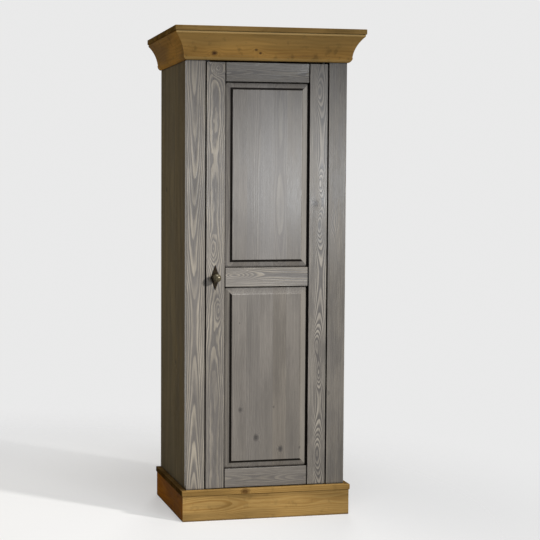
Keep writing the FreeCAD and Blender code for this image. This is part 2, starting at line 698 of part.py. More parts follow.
# Rails of the carcass
def make_top_rail():
    """The front rail behind the cornice, tenoned into the posts, with the seat of the upper pivot."""
    body = new_piece("top_rail")
    add_box(body, ("Layout.opening_width", "Dims.post_thickness", "Dims.moulding_height"),
            ("Layout.opening_left", "Layout.front_y", "Layout.cornice_z"))
    add_box(body, ("Layout.opening_width + 2 * Dims.rail_tenon_length", "Dims.rail_tenon_thickness",
                   "Dims.moulding_height - 2 * Dims.rail_tenon_shoulder"),
            ("Layout.opening_left - Dims.rail_tenon_length",
             "Layout.post_middle_y - Dims.rail_tenon_thickness / 2",
             "Layout.cornice_z + Dims.rail_tenon_shoulder"))
    cut_pivot_plate(body, "Layout.cornice_z", "+z")
    cut_bore(body, "Layout.pivot_bore_radius",
             "Dims.plate_thickness + Dims.pivot_case_reach + Dims.pivot_room",
             ("Layout.hinge_x", "Layout.hinge_y", "Layout.cornice_z"), "+z")


def board_left(number):
    return f"Layout.back_left + {number} * Layout.back_width / {BACK_BOARD_COUNT}"


def back_screw_places():
    """Two screws in each board at each rail."""
    for number in range(BACK_BOARD_COUNT):
        left_x = f"{board_left(number)} + Dims.back_screw_inset"
        right_x = f"{board_left(number + 1)} - Dims.back_screw_inset"
        for x in (left_x, right_x):
            yield number, "upper", (x, "Layout.back_y", "Layout.upper_back_screw_z")
            yield number, "lower", (x, "Layout.back_y", "Layout.lower_back_screw_z")


def make_back_rail(label, height, bottom, level):
    body = new_piece(label)
    add_box(body, ("Layout.inner_width", "Dims.back_rail_thickness", height),
            ("Layout.inner_left", "Layout.back_rail_y", bottom))
    for _, screw_level, place in back_screw_places():
        if screw_level == level:
            cut_screw_bore(body, place, "-y")


make_top_rail()
make_back_rail("back_top_rail", "Dims.back_top_rail_height", "Layout.back_top_rail_z", "upper")
make_back_rail("back_bottom_rail", "Dims.back_bottom_rail_height", "Dims.plinth_height", "lower")


# Back
def make_back_board(number):
    """A tongued and grooved board; the outer two are plain where they lie in the rebates."""
    body = new_piece(f"back_board_{number + 1}")
    width = f"Layout.back_width / {BACK_BOARD_COUNT}"
    left = board_left(number)
    add_box(body, (width, "Dims.back_thickness", "Layout.carcass_height"),
            (left, "Layout.back_inner_y", "Dims.plinth_height"))
    step = value("back_width") / BACK_BOARD_COUNT
    joints = [value("back_left") + step * edge for edge in (number, number + 1)]
    edges = edges_along(body, "z", "y", (value("back_y"),))
    joint_edges = [name for name in edges_along(body, "z", "x", joints) if name in edges]
    chamfer_edges(body, "Dims.back_edge_chamfer", joint_edges)
    if number < BACK_BOARD_COUNT - 1:
        tongue_x = f"{board_left(number + 1)} - Dims.tongue_length"
        add_box(body, ("2 * Dims.tongue_length", "Dims.tongue_thickness", "Layout.carcass_height"),
                (tongue_x, "Layout.tongue_y", "Dims.plinth_height"))
    if number > 0:
        cut_box(body, ("Dims.tongue_length + Dims.joint_clearance",
                       "Dims.tongue_thickness + 2 * Dims.joint_clearance", "Layout.carcass_height"),
                (left, "Layout.tongue_y - Dims.joint_clearance", "Dims.plinth_height"))
    for board, _, place in back_screw_places():
        if board == number:
            cut_screw_seat(body, place, "-y")


for number in range(BACK_BOARD_COUNT):
    make_back_board(number)

screw = make_screw("countersunk_screw", "Dims.screw_length")
group("back_board_screws", screw, [(place, POINTING["-y"]) for _, _, place in back_screw_places()])


# Shelves on pins
def make_shelf(number):
    body = new_piece(f"shelf_{number}")
    add_box(body, ("Layout.shelf_width", "Layout.shelf_depth", "Dims.shelf_thickness"),
            ("Layout.shelf_left", "Layout.shelf_front_y", shelf_z(number)))
    round_edges(body, "Dims.edge_round", edges_along(body, "x", "y", (value("shelf_front_y"),)))


def make_shelf_pins():
    """Steel pins with a flat tongue that a shelf lies on."""
    shank = doc.addObject("Part::Cylinder", "shelf_pin_shank")
    shank.setExpression("Radius", "Dims.pin_diameter / 2")
    shank.setExpression("Height", "Dims.pin_depth + Dims.pin_reach")
    shank.Placement = FreeCAD.Placement(Vector(), POINTING["+x"])
    shank.setExpression("Placement.Base.x", "-Dims.pin_depth")
    tongue = doc.addObject("Part::Box", "shelf_pin_tongue")
    tongue.setExpression("Length", "Dims.pin_reach")
    tongue.setExpression("Width", "Dims.pin_width")
    tongue.setExpression("Height", "Dims.pin_diameter / 2")
    tongue.setExpression("Placement.Base.y", "-Dims.pin_width / 2")
    pin = doc.addObject("Part::Fuse", "shelf_pin")
    pin.Base = shank
    pin.Tool = tongue
    places = []
    for number in range(1, SHELF_COUNT + 1):
        for y in ("Layout.pin_front_y", "Layout.pin_back_y"):
            places.append((("Layout.inner_left", y, pin_z(number)), FreeCAD.Rotation()))
            places.append((("-Layout.inner_left", y, pin_z(number)), FreeCAD.Rotation(Z_AXIS, 180)))
    group("shelf_pins", pin, places)


for number in range(1, SHELF_COUNT + 1):
    make_shelf(number)
make_shelf_pins()


# Door frame
def make_stile(side):
    left = "Layout.door_left" if side == "left" else "Layout.rail_right"
    groove_x = "Layout.rail_left - Dims.groove_depth" if side == "left" else "Layout.rail_right"
    body = new_piece("door_stile_" + side)
    add_box(body, ("Dims.stile_width", "Dims.door_thickness", "Layout.door_height"),
            (left, "Layout.front_y", "Layout.door_bottom"))
    front_edges = edges_along(body, "z", "y", (value("front_y"),))
    outer = value("door_left") if side == "left" else value("door_right")
    outer_edges = [name for name in edges_along(body, "z", "x", (outer,)) if name in front_edges]
    round_edges(body, "Dims.edge_round", outer_edges)
    inner = value("rail_left") if side == "left" else value("rail_right")
    front_edges = edges_along(body, "z", "y", (value("front_y"),))
    inner_edges = [name for name in edges_along(body, "z", "x", (inner,)) if name in front_edges]
    round_edges(body, "Dims.arris_round", inner_edges)
    cut_box(body, ("Dims.groove_depth", "Layout.groove_width", "Layout.door_height"),
            (groove_x, "Layout.groove_y", "Layout.door_bottom"))
    return body


def make_rail(label, bottom, grooves):
    """A rail with a stub tongue at each end, and a panel groove along the edges that are named."""
    whole_length = "Layout.rail_length + 2 * Dims.groove_depth"
    body = new_piece(label)
    add_box(body, ("Layout.rail_length", "Dims.door_thickness", "Dims.rail_width"),
            ("Layout.rail_left", "Layout.front_y", bottom))
    front_edges = edges_along(body, "x", "y", (value("front_y"),))
    round_edges(body, "Dims.arris_round", front_edges + edges_along(body, "z", "y", (value("front_y"),)))
    add_box(body, (whole_length, "Dims.panel_tongue", "Dims.rail_width"),
            ("Layout.rail_left - Dims.groove_depth", "Layout.panel_front_y", bottom))
    for edge in grooves:
        groove_z = bottom if edge == "lower" else f"{bottom} + Dims.rail_width - Dims.groove_depth"
        cut_box(body, (whole_length, "Layout.groove_width", "Dims.groove_depth"),
                ("Layout.rail_left - Dims.groove_depth", "Layout.groove_y", groove_z))
    return body


def add_slope(body, label, bottom, height, inset, run, front_y, rise):
    """Four slopes that rise towards the field of a panel; inset is the frame to their foot."""
    slope = body.newObject("PartDesign::AdditiveWedge", label)
    sides = {
        "Xmin": run,
        "Xmax": f"Layout.rail_length - 2 * {inset} - {run}",
        "Zmin": run,
        "Zmax": f"{height} - 2 * {inset} - {run}",
        "Ymin": "0",
        "Ymax": rise,
        "X2min": "0",
        "X2max": f"Layout.rail_length - 2 * {inset}",
        "Z2min": "0",
        "Z2max": f"{height} - 2 * {inset}",
    }
    for name, expression in sides.items():
        slope.setExpression(name, expression)
    set_place(slope, (f"Layout.rail_left + {inset}", front_y, f"{bottom} + {inset}"))


def make_panel(label, bottom, height):
    """A panel whose edges lie in the grooves; a sloping rim and a steep step rise to its flat field."""
    body = new_piece(label)
    add_box(body, ("Layout.rail_length + 2 * Layout.panel_tuck", "Dims.panel_tongue",
                   f"{height} + 2 * Layout.panel_tuck"),
            ("Layout.rail_left - Layout.panel_tuck", "Layout.panel_front_y", f"{bottom} - Layout.panel_tuck"))
    add_slope(body, "rim", bottom, height, "0", "Dims.panel_rim", "Layout.rim_front_y",
              "Dims.panel_rim_rise")
    add_slope(body, "step", bottom, height, "Dims.panel_rim", "Layout.bevel_run", "Layout.bevel_front_y",
              "Dims.panel_bevel_rise")
    add_box(body, ("Layout.rail_length - 2 * Dims.panel_bevel", "Layout.bevel_front_y - Layout.field_y",
                   f"{height} - 2 * Dims.panel_bevel"),
            ("Layout.rail_left + Dims.panel_bevel", "Layout.field_y", f"{bottom} + Dims.panel_bevel"))
    field_edges = edges_along(body, "x", "y", (value("field_y"),))
    round_edges(body, "Dims.arris_round", field_edges + edges_along(body, "z", "y", (value("field_y"),)))


stile_left = make_stile("left")
stile_right = make_stile("right")
make_rail("door_rail_top", "Layout.top_door_rail_z", ("lower",))
make_rail("door_rail_middle", "Layout.middle_rail_z", ("lower", "upper"))
make_rail("door_rail_bottom", "Layout.door_bottom", ("upper",))
make_panel("door_panel_upper", "Layout.upper_panel_z", "Layout.upper_panel_height")
make_panel("door_panel_lower", "Layout.lower_panel_z", "Layout.lower_panel_height")


# Knob on its diamond plate
def make_backplate():
    body = new_piece("knob_backplate")
    diamond = (("0", "-plate_half_height"), ("plate_half_width", "0"),
               ("0", "plate_half_height"), ("-plate_half_width", "0"))
    pad(body, outline(body, "diamond", "XZ_Plane", diamond), "Dims.backplate_thickness")
    doc.recompute()
    front = -value("backplate_thickness")
    edges = [f"Edge{n}" for n, edge in enumerate(body.Tip.Shape.Edges, start=1)
             if abs(edge.BoundBox.YMin - front) < 1e-3 and edge.BoundBox.YLength < 1e-3]
    chamfer_edges(body, "Dims.backplate_bevel", edges)
    cut_bore(body, "Layout.bolt_bore_radius", "Dims.backplate_thickness", ("0", "0", "0"), "-y")
    set_place(body, ("Layout.knob_x", "Layout.front_y", "Dims.middle_rail_centre"))


def make_knob():
    body = new_piece("knob")
    profile = (("0", "0"), ("knob_foot_radius", "0"), ("knob_foot_radius", "knob_foot_height"),
               ("knob_neck_radius", "knob_neck_top"), ("0", "knob_front"))
    arcs = {2: ("knob_neck_curve", "right"), 3: ("knob_radius", "left")}
    turned(body, outline(body, "knob_profile", "XZ_Plane", profile, arcs))
    cut_bore(body, "Layout.bolt_bore_radius", "Dims.bolt_grip + Dims.joint_clearance", ("0", "0", "0"), "+z")
    body.Placement = FreeCAD.Placement(Vector(), POINTING["-y"])
    set_place(body, ("Layout.knob_x", "Layout.plate_front_y", "Dims.middle_rail_centre"))


def make_knob_bolt():
    body = new_piece("knob_bolt")
    add_rod(body, "Dims.bolt_diameter / 2", "Layout.bolt_reach", ("0", "0", "0"))
    add_rod(body, "Dims.bolt_head_diameter / 2", "Dims.bolt_head_height",
            ("0", "0", "-Dims.bolt_head_height"))
    body.Placement = FreeCAD.Placement(Vector(), POINTING["-y"])
    set_place(body, ("Layout.knob_x", "Layout.door_back_y", "Dims.middle_rail_centre"))


cut_bore(stile_left, "Layout.bolt_bore_radius", "Dims.door_thickness",
         ("Layout.knob_x", "Layout.front_y", "Dims.middle_rail_centre"), "+y")
make_backplate()
make_knob()
make_knob_bolt()


# Pivot hinges
def make_pivot_plate(label, bottom, head_z, pointing, hole_radius):
    """A steel plate with the hole of the pivot pin and two countersunk screw holes."""
    body = new_piece(label)
    add_box(body, ("Dims.plate_length", "Dims.plate_width", "Dims.plate_thickness"),
            ("Layout.plate_left", "Layout.plate_y", bottom))
    cut_bore(body, hole_radius, "Dims.plate_thickness", ("Layout.hinge_x", "Layout.hinge_y", bottom))
    for x in PLATE_SCREWS_X:
        cut_screw_seat(body, (x, "Layout.hinge_y", head_z), pointing)


def make_pivot_pin(label, bottom, length):
    body = new_piece(label)
    add_rod(body, "Layout.pivot_radius", length, ("Layout.hinge_x", "Layout.hinge_y", bottom))


def plate_screws(face_z, pointing):
    return [((x, "Layout.hinge_y", face_z), POINTING[pointing]) for x in PLATE_SCREWS_X]


def make_thrust_washer():
    body = new_piece("pivot_thrust_washer")
    thickness = "Dims.door_bottom_gap - Dims.washer_play"
    middle = ("Layout.hinge_x", "Layout.hinge_y", "Dims.plinth_height")
    add_rod(body, "Dims.washer_diameter / 2", thickness, middle)
    cut_bore(body, "Layout.pivot_hole_radius", thickness, middle)


PIVOT_TIGHT_HOLE = "Layout.pivot_radius + Dims.joint_clearance / 2"
make_pivot_plate("pivot_case_plate_bottom", "Dims.plinth_height - Dims.plate_thickness", "Dims.plinth_height",
                 "-z", PIVOT_TIGHT_HOLE)
make_pivot_plate("pivot_case_plate_top", "Layout.cornice_z", "Layout.cornice_z", "+z",
                 "Layout.pivot_hole_radius")
make_pivot_plate("pivot_door_plate_bottom", "Layout.door_bottom", "Layout.door_bottom", "+z",
                 "Layout.pivot_hole_radius")
make_pivot_plate("pivot_door_plate_top", "Layout.door_top - Dims.plate_thickness", "Layout.door_top", "-z",
                 PIVOT_TIGHT_HOLE)
make_pivot_pin("pivot_pin_bottom", "Dims.plinth_height - Dims.plate_thickness", "Layout.lower_pin_length")
make_pivot_pin("pivot_pin_top", "Layout.upper_pin_z", "Layout.upper_pin_top - Layout.upper_pin_z")
make_thrust_washer()
group("pivot_case_screws", screw,
      plate_screws("Dims.plinth_height", "-z") + plate_screws("Layout.cornice_z", "+z"))
group("pivot_door_screws", screw,
      plate_screws("Layout.door_bottom", "+z") + plate_screws("Layout.door_top", "-z"))

cut_pivot_plate(stile_right, "Layout.door_bottom", "+z")
cut_pivot_plate(stile_right, "Layout.door_top", "-z")
cut_bore(stile_right, "Layout.pivot_bore_radius", "Layout.pivot_bore_depth",
         ("Layout.hinge_x", "Layout.hinge_y", "Layout.door_bottom"), "+z")
cut_bore(stile_right, PIVOT_TIGHT_HOLE, "Dims.plate_thickness + Dims.pivot_engagement",
         ("Layout.hinge_x", "Layout.hinge_y", "Layout.door_top"), "-z")


# Door stop and magnetic catches
def stop_screw_places():
    spacing = f"(Layout.stop_height - 2 * Dims.stop_screw_end) / {STOP_SCREW_COUNT - 1}"
    for number in range(STOP_SCREW_COUNT):
        z = f"Dims.plinth_height + Dims.stop_screw_end + {number} * {spacing}"
        yield "Layout.stop_screw_x", "Layout.stop_back_y", z


CATCH_HEIGHTS = ("Layout.lower_catch_z", "Layout.upper_catch_z")


def make_door_stop():
    """The strip behind the left post that carries the magnets and the door closes against."""
    body = new_piece("door_stop")
    add_box(body, ("Dims.stop_behind_post", "Layout.stop_back_y - Layout.side_front_y", "Layout.stop_height"),
            ("Layout.stop_left", "Layout.side_front_y", "Dims.plinth_height"))
    add_box(body, ("Dims.stop_overlap", "Layout.stop_back_y - Layout.stop_front_y", "Layout.stop_height"),
            ("Layout.opening_left", "Layout.stop_front_y", "Dims.plinth_height"))
    for place in stop_screw_places():
        cut_screw_seat(body, place, "-y", "Layout.stop_bore_depth")
    for z in CATCH_HEIGHTS:
        cut_bore(body, "Dims.magnet_diameter / 2 + Dims.joint_clearance",
                 "Dims.magnet_length - Dims.magnet_proud",
                 ("Layout.catch_x", "Layout.stop_front_y", z), "+y")


def make_catches():
    magnet = doc.addObject("Part::Cylinder", "catch_magnet")
    magnet.setExpression("Radius", "Dims.magnet_diameter / 2")
    magnet.setExpression("Height", "Dims.magnet_length")
    seats = [("Layout.catch_x", "Layout.magnet_y", z) for z in CATCH_HEIGHTS]
    group("catch_magnets", magnet, [(seat, POINTING["+y"]) for seat in seats])
    plate = doc.addObject("Part::Box", "strike_plate")
    plate.setExpression("Length", "Dims.strike_width")
    plate.setExpression("Width", "Dims.strike_thickness")
    plate.setExpression("Height", "Dims.strike_height")
    plate.setExpression("Placement.Base.x", "-Dims.strike_width / 2")
    plate.setExpression("Placement.Base.y", "-Dims.strike_thickness")
    plate.setExpression("Placement.Base.z", "-Dims.strike_height / 2")
    seat = doc.addObject("Part::Cone", "strike_countersink")
    seat.setExpression("Radius1", "Layout.screw_seat_radius")
    seat.setExpression("Radius2", "Layout.screw_bore_radius")
    seat.setExpression("Height", "Layout.screw_head_height")
    seat.Placement = FreeCAD.Placement(Vector(), POINTING["-y"])
    strike = doc.addObject("Part::Cut", "catch_strike")
    strike.Base = plate
    strike.Tool = seat
    places = [("Layout.catch_x", "Layout.strike_back_y", z) for z in CATCH_HEIGHTS]
    group("catch_strikes", strike, [(place, FreeCAD.Rotation()) for place in places])
    short_screw = make_screw("strike_screw", "Dims.strike_screw_length")
    group("strike_screws", short_screw, [(place, POINTING["-y"]) for place in places])
    for place in places:
        cut_screw_seat(stile_left, place, "-y", "Layout.strike_bore_depth")


make_door_stop()
stop_screw = make_screw("stop_screw", "Dims.stop_screw_length")
group("door_stop_screws", stop_screw, [(place, POINTING["-y"]) for place in stop_screw_places()])
post_left = uprights["post_left"]
for place in stop_screw_places():
    cut_screw_bore(post_left, place, "-y", "Layout.stop_bore_depth")
make_catches()


# Every feature has to be sound before a piece is written
doc.recompute()
for obj in doc.Objects:
    if "Invalid" in obj.State or "Error" in obj.State:
        raise RuntimeError(f"{obj.Label}: {obj.State}")
for piece in pieces:
    if piece.Shape.isNull() or not piece.Shape.isValid() or not piece.Shape.Solids:
        raise RuntimeError(f"{piece.Label} is not a sound solid")

os.makedirs("parts", exist_ok=True)
for piece in pieces:
    piece.Shape.exportStep(f"parts/{piece.Label}.step")
print(len(pieces), "pieces written")
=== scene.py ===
import math
from functools import partial, reduce

import bpy
from mathutils import Euler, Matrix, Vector

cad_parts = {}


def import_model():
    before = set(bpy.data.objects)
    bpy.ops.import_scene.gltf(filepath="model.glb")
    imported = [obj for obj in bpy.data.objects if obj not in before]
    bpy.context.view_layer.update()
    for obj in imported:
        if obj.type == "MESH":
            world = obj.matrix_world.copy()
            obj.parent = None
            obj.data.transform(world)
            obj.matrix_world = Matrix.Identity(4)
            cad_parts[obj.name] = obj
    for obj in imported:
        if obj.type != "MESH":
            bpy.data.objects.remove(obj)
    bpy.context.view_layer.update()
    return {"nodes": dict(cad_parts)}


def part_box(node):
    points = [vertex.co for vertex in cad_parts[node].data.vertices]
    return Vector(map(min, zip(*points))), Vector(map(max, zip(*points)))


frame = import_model()
scene = bpy.context.scene
scene.view_settings.view_transform = "Standard"

# The photo's view; the shift keeps the front nearly square to the camera
CAMERA_PLACE = (-1.503, -5.120, 1.301)
CAMERA_TURN = (math.radians(86.55), 0, math.radians(-11.16))
CAMERA_LENS = 86.15
CAMERA_SHIFT = 0.25

# Places on the cupboard, from its boards, in metres
CARCASS_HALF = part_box("side_right")[1].x
POST_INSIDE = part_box("post_right")[0].x
STILE_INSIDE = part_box("door_stile_right")[0].x
DOOR_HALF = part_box("door_stile_right")[1].x
DOOR_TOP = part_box("door_stile_right")[1].z
DOOR_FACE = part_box("door_stile_right")[0].y
BASE_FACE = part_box("base_board")[0].y
CORNICE_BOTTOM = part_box("cornice_front")[0].z
CORNICE_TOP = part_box("cornice_front")[1].z

# A panel's rim, from its raised field to the door's frame, and the upright lip on top of the cornice
RIM_WIDTH = 0.031
FIELD_HALF = STILE_INSIDE - RIM_WIDTH
LIP_HEIGHT = 0.008


# Camera and lights
def make_camera():
    bpy.ops.object.camera_add(location=CAMERA_PLACE, rotation=CAMERA_TURN)
    camera = bpy.context.object
    camera.data.lens = CAMERA_LENS
    camera.data.shift_x = CAMERA_SHIFT
    scene.camera = camera


def make_lamp(kind, name, place, aim, watts, colour):
    bpy.ops.object.light_add(type=kind, location=place)
    lamp = bpy.context.object
    lamp.name = name
    lamp.rotation_euler = (Vector(aim) - Vector(place)).to_track_quat("-Z", "Y").to_euler()
    lamp.data.energy = watts
    lamp.data.color = colour
    return lamp.data


def make_softbox(name, place, aim, size, watts, colour=(1.0, 1.0, 1.0)):
    lamp = make_lamp("AREA", name, place, aim, watts, colour)
    lamp.shape = "DISK"
    lamp.size = size


def make_side_spot():
    """The main light, from the right and a little above; its soft rim leaves the cornice dimmer."""
    lamp = make_lamp("SPOT", "side_spot", place=(7.07, -7.52, 4.82), aim=(-1.0, -0.2, 0.42), watts=5950,
                     colour=(1.0, 0.98, 0.95))
    lamp.spot_size = math.radians(16.5)
    lamp.spot_blend = 0.95
    lamp.shadow_soft_size = 0.45


def make_lights():
    make_side_spot()
    make_softbox("overhead_softbox", place=(0, -3.4, 12.0), aim=(0, -0.2, 1.0), size=5.0, watts=800)
    make_softbox("front_softbox", place=(1.6, -4.38, 1.43), aim=(0.2, -0.2, 1.37), size=0.55, watts=24,
                 colour=(0.92, 0.96, 1.0))
    make_softbox("left_softbox", place=(-1.75, 0.4, 1.35), aim=(-0.33, 0.05, 1.25), size=0.8, watts=3.6,
                 colour=(1.0, 0.84, 0.54))
    make_softbox("back_softbox", place=(1.6, 5.0, 3.2), aim=(0, 0.26, 1.0), size=2.0, watts=120)


# Kinds of socket of the shared effects
FLOAT = "NodeSocketFloat"
VECTOR = "NodeSocketVector"


# Node building
def feed(tree, source, socket):
    """Gives a socket a fixed value or the socket that feeds it."""
    if isinstance(source, bpy.types.NodeSocket):
        tree.links.new(source, socket)
    else:
        socket.default_value = source


def new_node(tree, kind, inputs=None, **settings):
    node = tree.nodes.new(kind)
    for name, setting in settings.items():
        setattr(node, name, setting)
    for socket, source in (inputs or {}).items():
        feed(tree, source, node.inputs[socket])
    return node


def maths(tree, operation, *terms):
    return new_node(tree, "ShaderNodeMath", dict(enumerate(terms)), operation=operation).outputs[0]


def product(tree, *factors):
    return reduce(partial(maths, tree, "MULTIPLY"), factors)


def largest(tree, *marks):
    return reduce(partial(maths, tree, "MAXIMUM"), marks)


def sway(tree, base, lot, reach):
    """The base, moved by up to half the reach either way by a lot from 0 to 1."""
    return maths(tree, "MULTIPLY_ADD", maths(tree, "SUBTRACT", lot, 0.5), reach, base)


def vector_maths(tree, operation, *terms):
    return new_node(tree, "ShaderNodeVectorMath", dict(enumerate(terms)), operation=operation).outputs[0]


def length(tree, vector):
    return new_node(tree, "ShaderNodeVectorMath", {0: vector}, operation="LENGTH").outputs["Value"]


def separate(tree, vector):
    return new_node(tree, "ShaderNodeSeparateXYZ", {0: vector}).outputs


def combine(tree, x, y, z):
    return new_node(tree, "ShaderNodeCombineXYZ", {"X": x, "Y": y, "Z": z}).outputs[0]


def channels(tree, colour):
    return new_node(tree, "ShaderNodeSeparateColor", {0: colour}).outputs


def soft_step(tree, value, low, high, start=0.0, end=1.0):
    """Goes smoothly from start to end while the value goes from low to high."""
    inputs = {"Value": value, "From Min": low, "From Max": high, "To Min": start, "To Max": end}
    return new_node(tree, "ShaderNodeMapRange", inputs, interpolation_type="SMOOTHSTEP").outputs["Result"]


def noise(tree, place, detail):
    """Noise with a grain of about one unit of place."""
    inputs = {"Vector": place, "Scale": 1.0, "Detail": detail}
    return new_node(tree, "ShaderNodeTexNoise", inputs, noise_dimensions="3D").outputs


def pattern(tree, place, grains, detail=2.0):
    """Noise with so many grains to a metre each way."""
    return noise(tree, vector_maths(tree, "MULTIPLY", place, grains), detail)["Fac"]


def blend_colours(tree, share, first, second, how="MIX"):
    node = new_node(tree, "ShaderNodeMix", data_type="RGBA", blend_type=how)
    for socket, source in ((node.inputs[0], share), (node.inputs[6], first), (node.inputs[7], second)):
        feed(tree, source, socket)
    return node.outputs[2]


def new_group(name, inputs, outputs):
    """A shared effect, with the sockets of its inputs and outputs."""
    tree = bpy.data.node_groups.new(name, "ShaderNodeTree")
    for socket, kind, default in inputs:
        tree.interface.new_socket(socket, in_out="INPUT", socket_type=kind).default_value = default
    for socket in outputs:
        tree.interface.new_socket(socket, in_out="OUTPUT", socket_type=FLOAT)
    given = tree.nodes.new("NodeGroupInput").outputs
    result = tree.nodes.new("NodeGroupOutput").inputs
    return tree, given, result


def new_material(name):
    """A material with its tree of nodes and its surface."""
    material = bpy.data.materials.new(name)
    material.use_nodes = True
    return material, material.node_tree, material.node_tree.nodes["Principled BSDF"]


def dress(name, material):
    slots = frame["nodes"][name].data.materials
    slots.clear()
    slots.append(material)


# Grains to a metre across a board, into it and along it
WAVES = (22, 22, 5)
RIPPLES = (110, 110, 26)
PATCHES = (30, 30, 7)
FIBRES = (900, 900, 22)
STREAKS = (170, 170, 3.5)
CLOUDS = (11, 11, 2.6)
KNOT_EDGES = (140, 140, 90)
WORN_PATCHES = (60, 60, 14)
SHADE_PATCHES = (45, 45, 12)
# Grains to a metre any way
BLOTS = (34, 34, 34)
METAL_SKIN = (2200, 2200, 2200)

# A strip's key, its length of the tree, and the depth of its heart as a share of the board's
STRIP_KEY = 0.37
TREE_LENGTH = 4.0
HEART_LEAST = 0.75
HEART_SPREAD = 0.5
# Pace of the heart's wander from board to board, from strip to strip and along the tree
BOARD_PACE = 3.17
STRIP_PACE = 1.7
TREE_PACE = 1.9
# The ripples' share of the curl; the place where the taper turns, shifted from strip to strip and rounded
RIPPLE_SHARE = 0.3
TURN_SHIFT = 0.83
TURN_ROUNDING = 0.003
# Parts of a year in which latewood grows and ends, and how strong it is
LATE_GROWTH = (0.22, 0.72)
LATE_END = (0.88, 1.0)
LATE_LEAST = 0.55
LATE_SPREAD = 0.45
# Where the noise of its patches comes in, and the least of it between them
LATE_PATCHES = (0.3, 0.6)
PATCH_LEAST = 0.5


# Growth of the wood
def make_pine_figure():
    """Growth rings of a board. Place runs across the board in X, into it in Y and along it in Z."""
    inputs = (("Place", VECTOR, (0, 0, 0)), ("Seed", FLOAT, 0.0), ("Strip Width", FLOAT, 10.0),
              ("Ring Width", FLOAT, 0.004), ("Slope", FLOAT, 0.005), ("Turn", FLOAT, 0.0),
              ("Heart Depth", FLOAT, 0.045), ("Heart Shift", FLOAT, 0.03), ("Wander", FLOAT, 0.04),
              ("Curl", FLOAT, 0.004), ("Bulge", FLOAT, 0.0))
    tree, given, result = new_group("pine_figure", inputs, ("Latewood", "Fibre", "Streak", "Cloud", "Strip"))
    place = separate(tree, given["Place"])

    # Each glued strip has its own heart and its own length of the tree
    strip = maths(tree, "DIVIDE", place["X"], given["Strip Width"])
    strip = maths(tree, "FLOOR", maths(tree, "ADD", strip, 0.5))
    strip_key = combine(tree, strip, given["Seed"], STRIP_KEY)
    lot = new_node(tree, "ShaderNodeTexWhiteNoise", {"Vector": strip_key}, noise_dimensions="3D")
    lots = channels(tree, lot.outputs["Color"])
    across = maths(tree, "SUBTRACT", place["X"], product(tree, strip, given["Strip Width"]))
    across = sway(tree, across, lots[0], given["Heart Shift"])
    along = maths(tree, "MULTIPLY_ADD", lots[1], TREE_LENGTH, place["Z"])
    heart = maths(tree, "MULTIPLY_ADD", lots[2], HEART_SPREAD, HEART_LEAST)
    depth = maths(tree, "ADD", place["Y"], product(tree, given["Heart Depth"], heart))

    # The heart wanders along the tree, which draws the arches and the eyes
    way = combine(tree, product(tree, given["Seed"], BOARD_PACE), product(tree, strip, STRIP_PACE),
                  product(tree, along, TREE_PACE))
    bends = channels(tree, noise(tree, way, detail=1.5)["Color"])
    across = sway(tree, across, bends[0], given["Wander"])
    depth = sway(tree, depth, bends[1], given["Wander"])
    radius = maths(tree, "ADD", product(tree, across, across), product(tree, depth, depth))
    radius = maths(tree, "SQRT", radius)

    # Uneven growth, wide and narrow
    local = vector_maths(tree, "ADD", combine(tree, across, depth, along), strip_key)
    fine_curl = product(tree, given["Curl"], RIPPLE_SHARE)
    radius = sway(tree, radius, pattern(tree, local, WAVES), given["Curl"])
    radius = sway(tree, radius, pattern(tree, local, RIPPLES, detail=1.0), fine_curl)

    # The stem tapers both ways from the turn, so the arches open away from it
    reach = maths(tree, "SUBTRACT", place["Z"], given["Turn"])
    reach = maths(tree, "MULTIPLY_ADD", strip, TURN_SHIFT, reach)
    reach = maths(tree, "SQRT", maths(tree, "MULTIPLY_ADD", reach, reach, TURN_ROUNDING))
    radius = maths(tree, "SUBTRACT", radius, product(tree, reach, given["Slope"]))
    rings = maths(tree, "DIVIDE", maths(tree, "ADD", radius, given["Bulge"]), given["Ring Width"])

    # Latewood comes slowly in a year and ends sharply; some years and some patches have more of it
    year = maths(tree, "FRACT", rings)
    year_key = maths(tree, "ADD", maths(tree, "FLOOR", rings), given["Seed"])
    year_lot = new_node(tree, "ShaderNodeTexWhiteNoise", {"W": year_key}, noise_dimensions="1D")
    late = product(tree, soft_step(tree, year, *LATE_GROWTH), soft_step(tree, year, *LATE_END, 1.0, 0.0),
                   maths(tree, "MULTIPLY_ADD", year_lot.outputs["Value"], LATE_SPREAD, LATE_LEAST),
                   soft_step(tree, pattern(tree, local, PATCHES), *LATE_PATCHES, PATCH_LEAST, 1.0))
    feed(tree, late, result["Latewood"])

    # Fibres, streaks and clouds of the stain
    seeded = vector_maths(tree, "ADD", given["Place"], strip_key)
    feed(tree, pattern(tree, seeded, FIBRES), result["Fibre"])
    feed(tree, pattern(tree, seeded, STREAKS), result["Streak"])
    feed(tree, pattern(tree, seeded, CLOUDS), result["Cloud"])
    feed(tree, lots[2], result["Strip"])
    return tree


# Knots are drawn out along a board, and eyes more so; rings dip round an eye
KNOT_SQUEEZE = (1, 0, 0.72)
EYE_SQUEEZE = (1, 0, 0.36)
EYE_DIP = -0.6
# How far rings bulge round a knot and how fast that falls off, and how uneven a knot's edge is, in its radius
KNOT_BULGE = 2.6
KNOT_FALL = 0.16
KNOT_UNEVEN = 0.7
# A knot's core ends and its rim starts and ends, also in its radius
CORE_END = (0.66, 1.0)
RIM_START = (0.75, 1.0)
RIM_END = (1.0, 1.7)


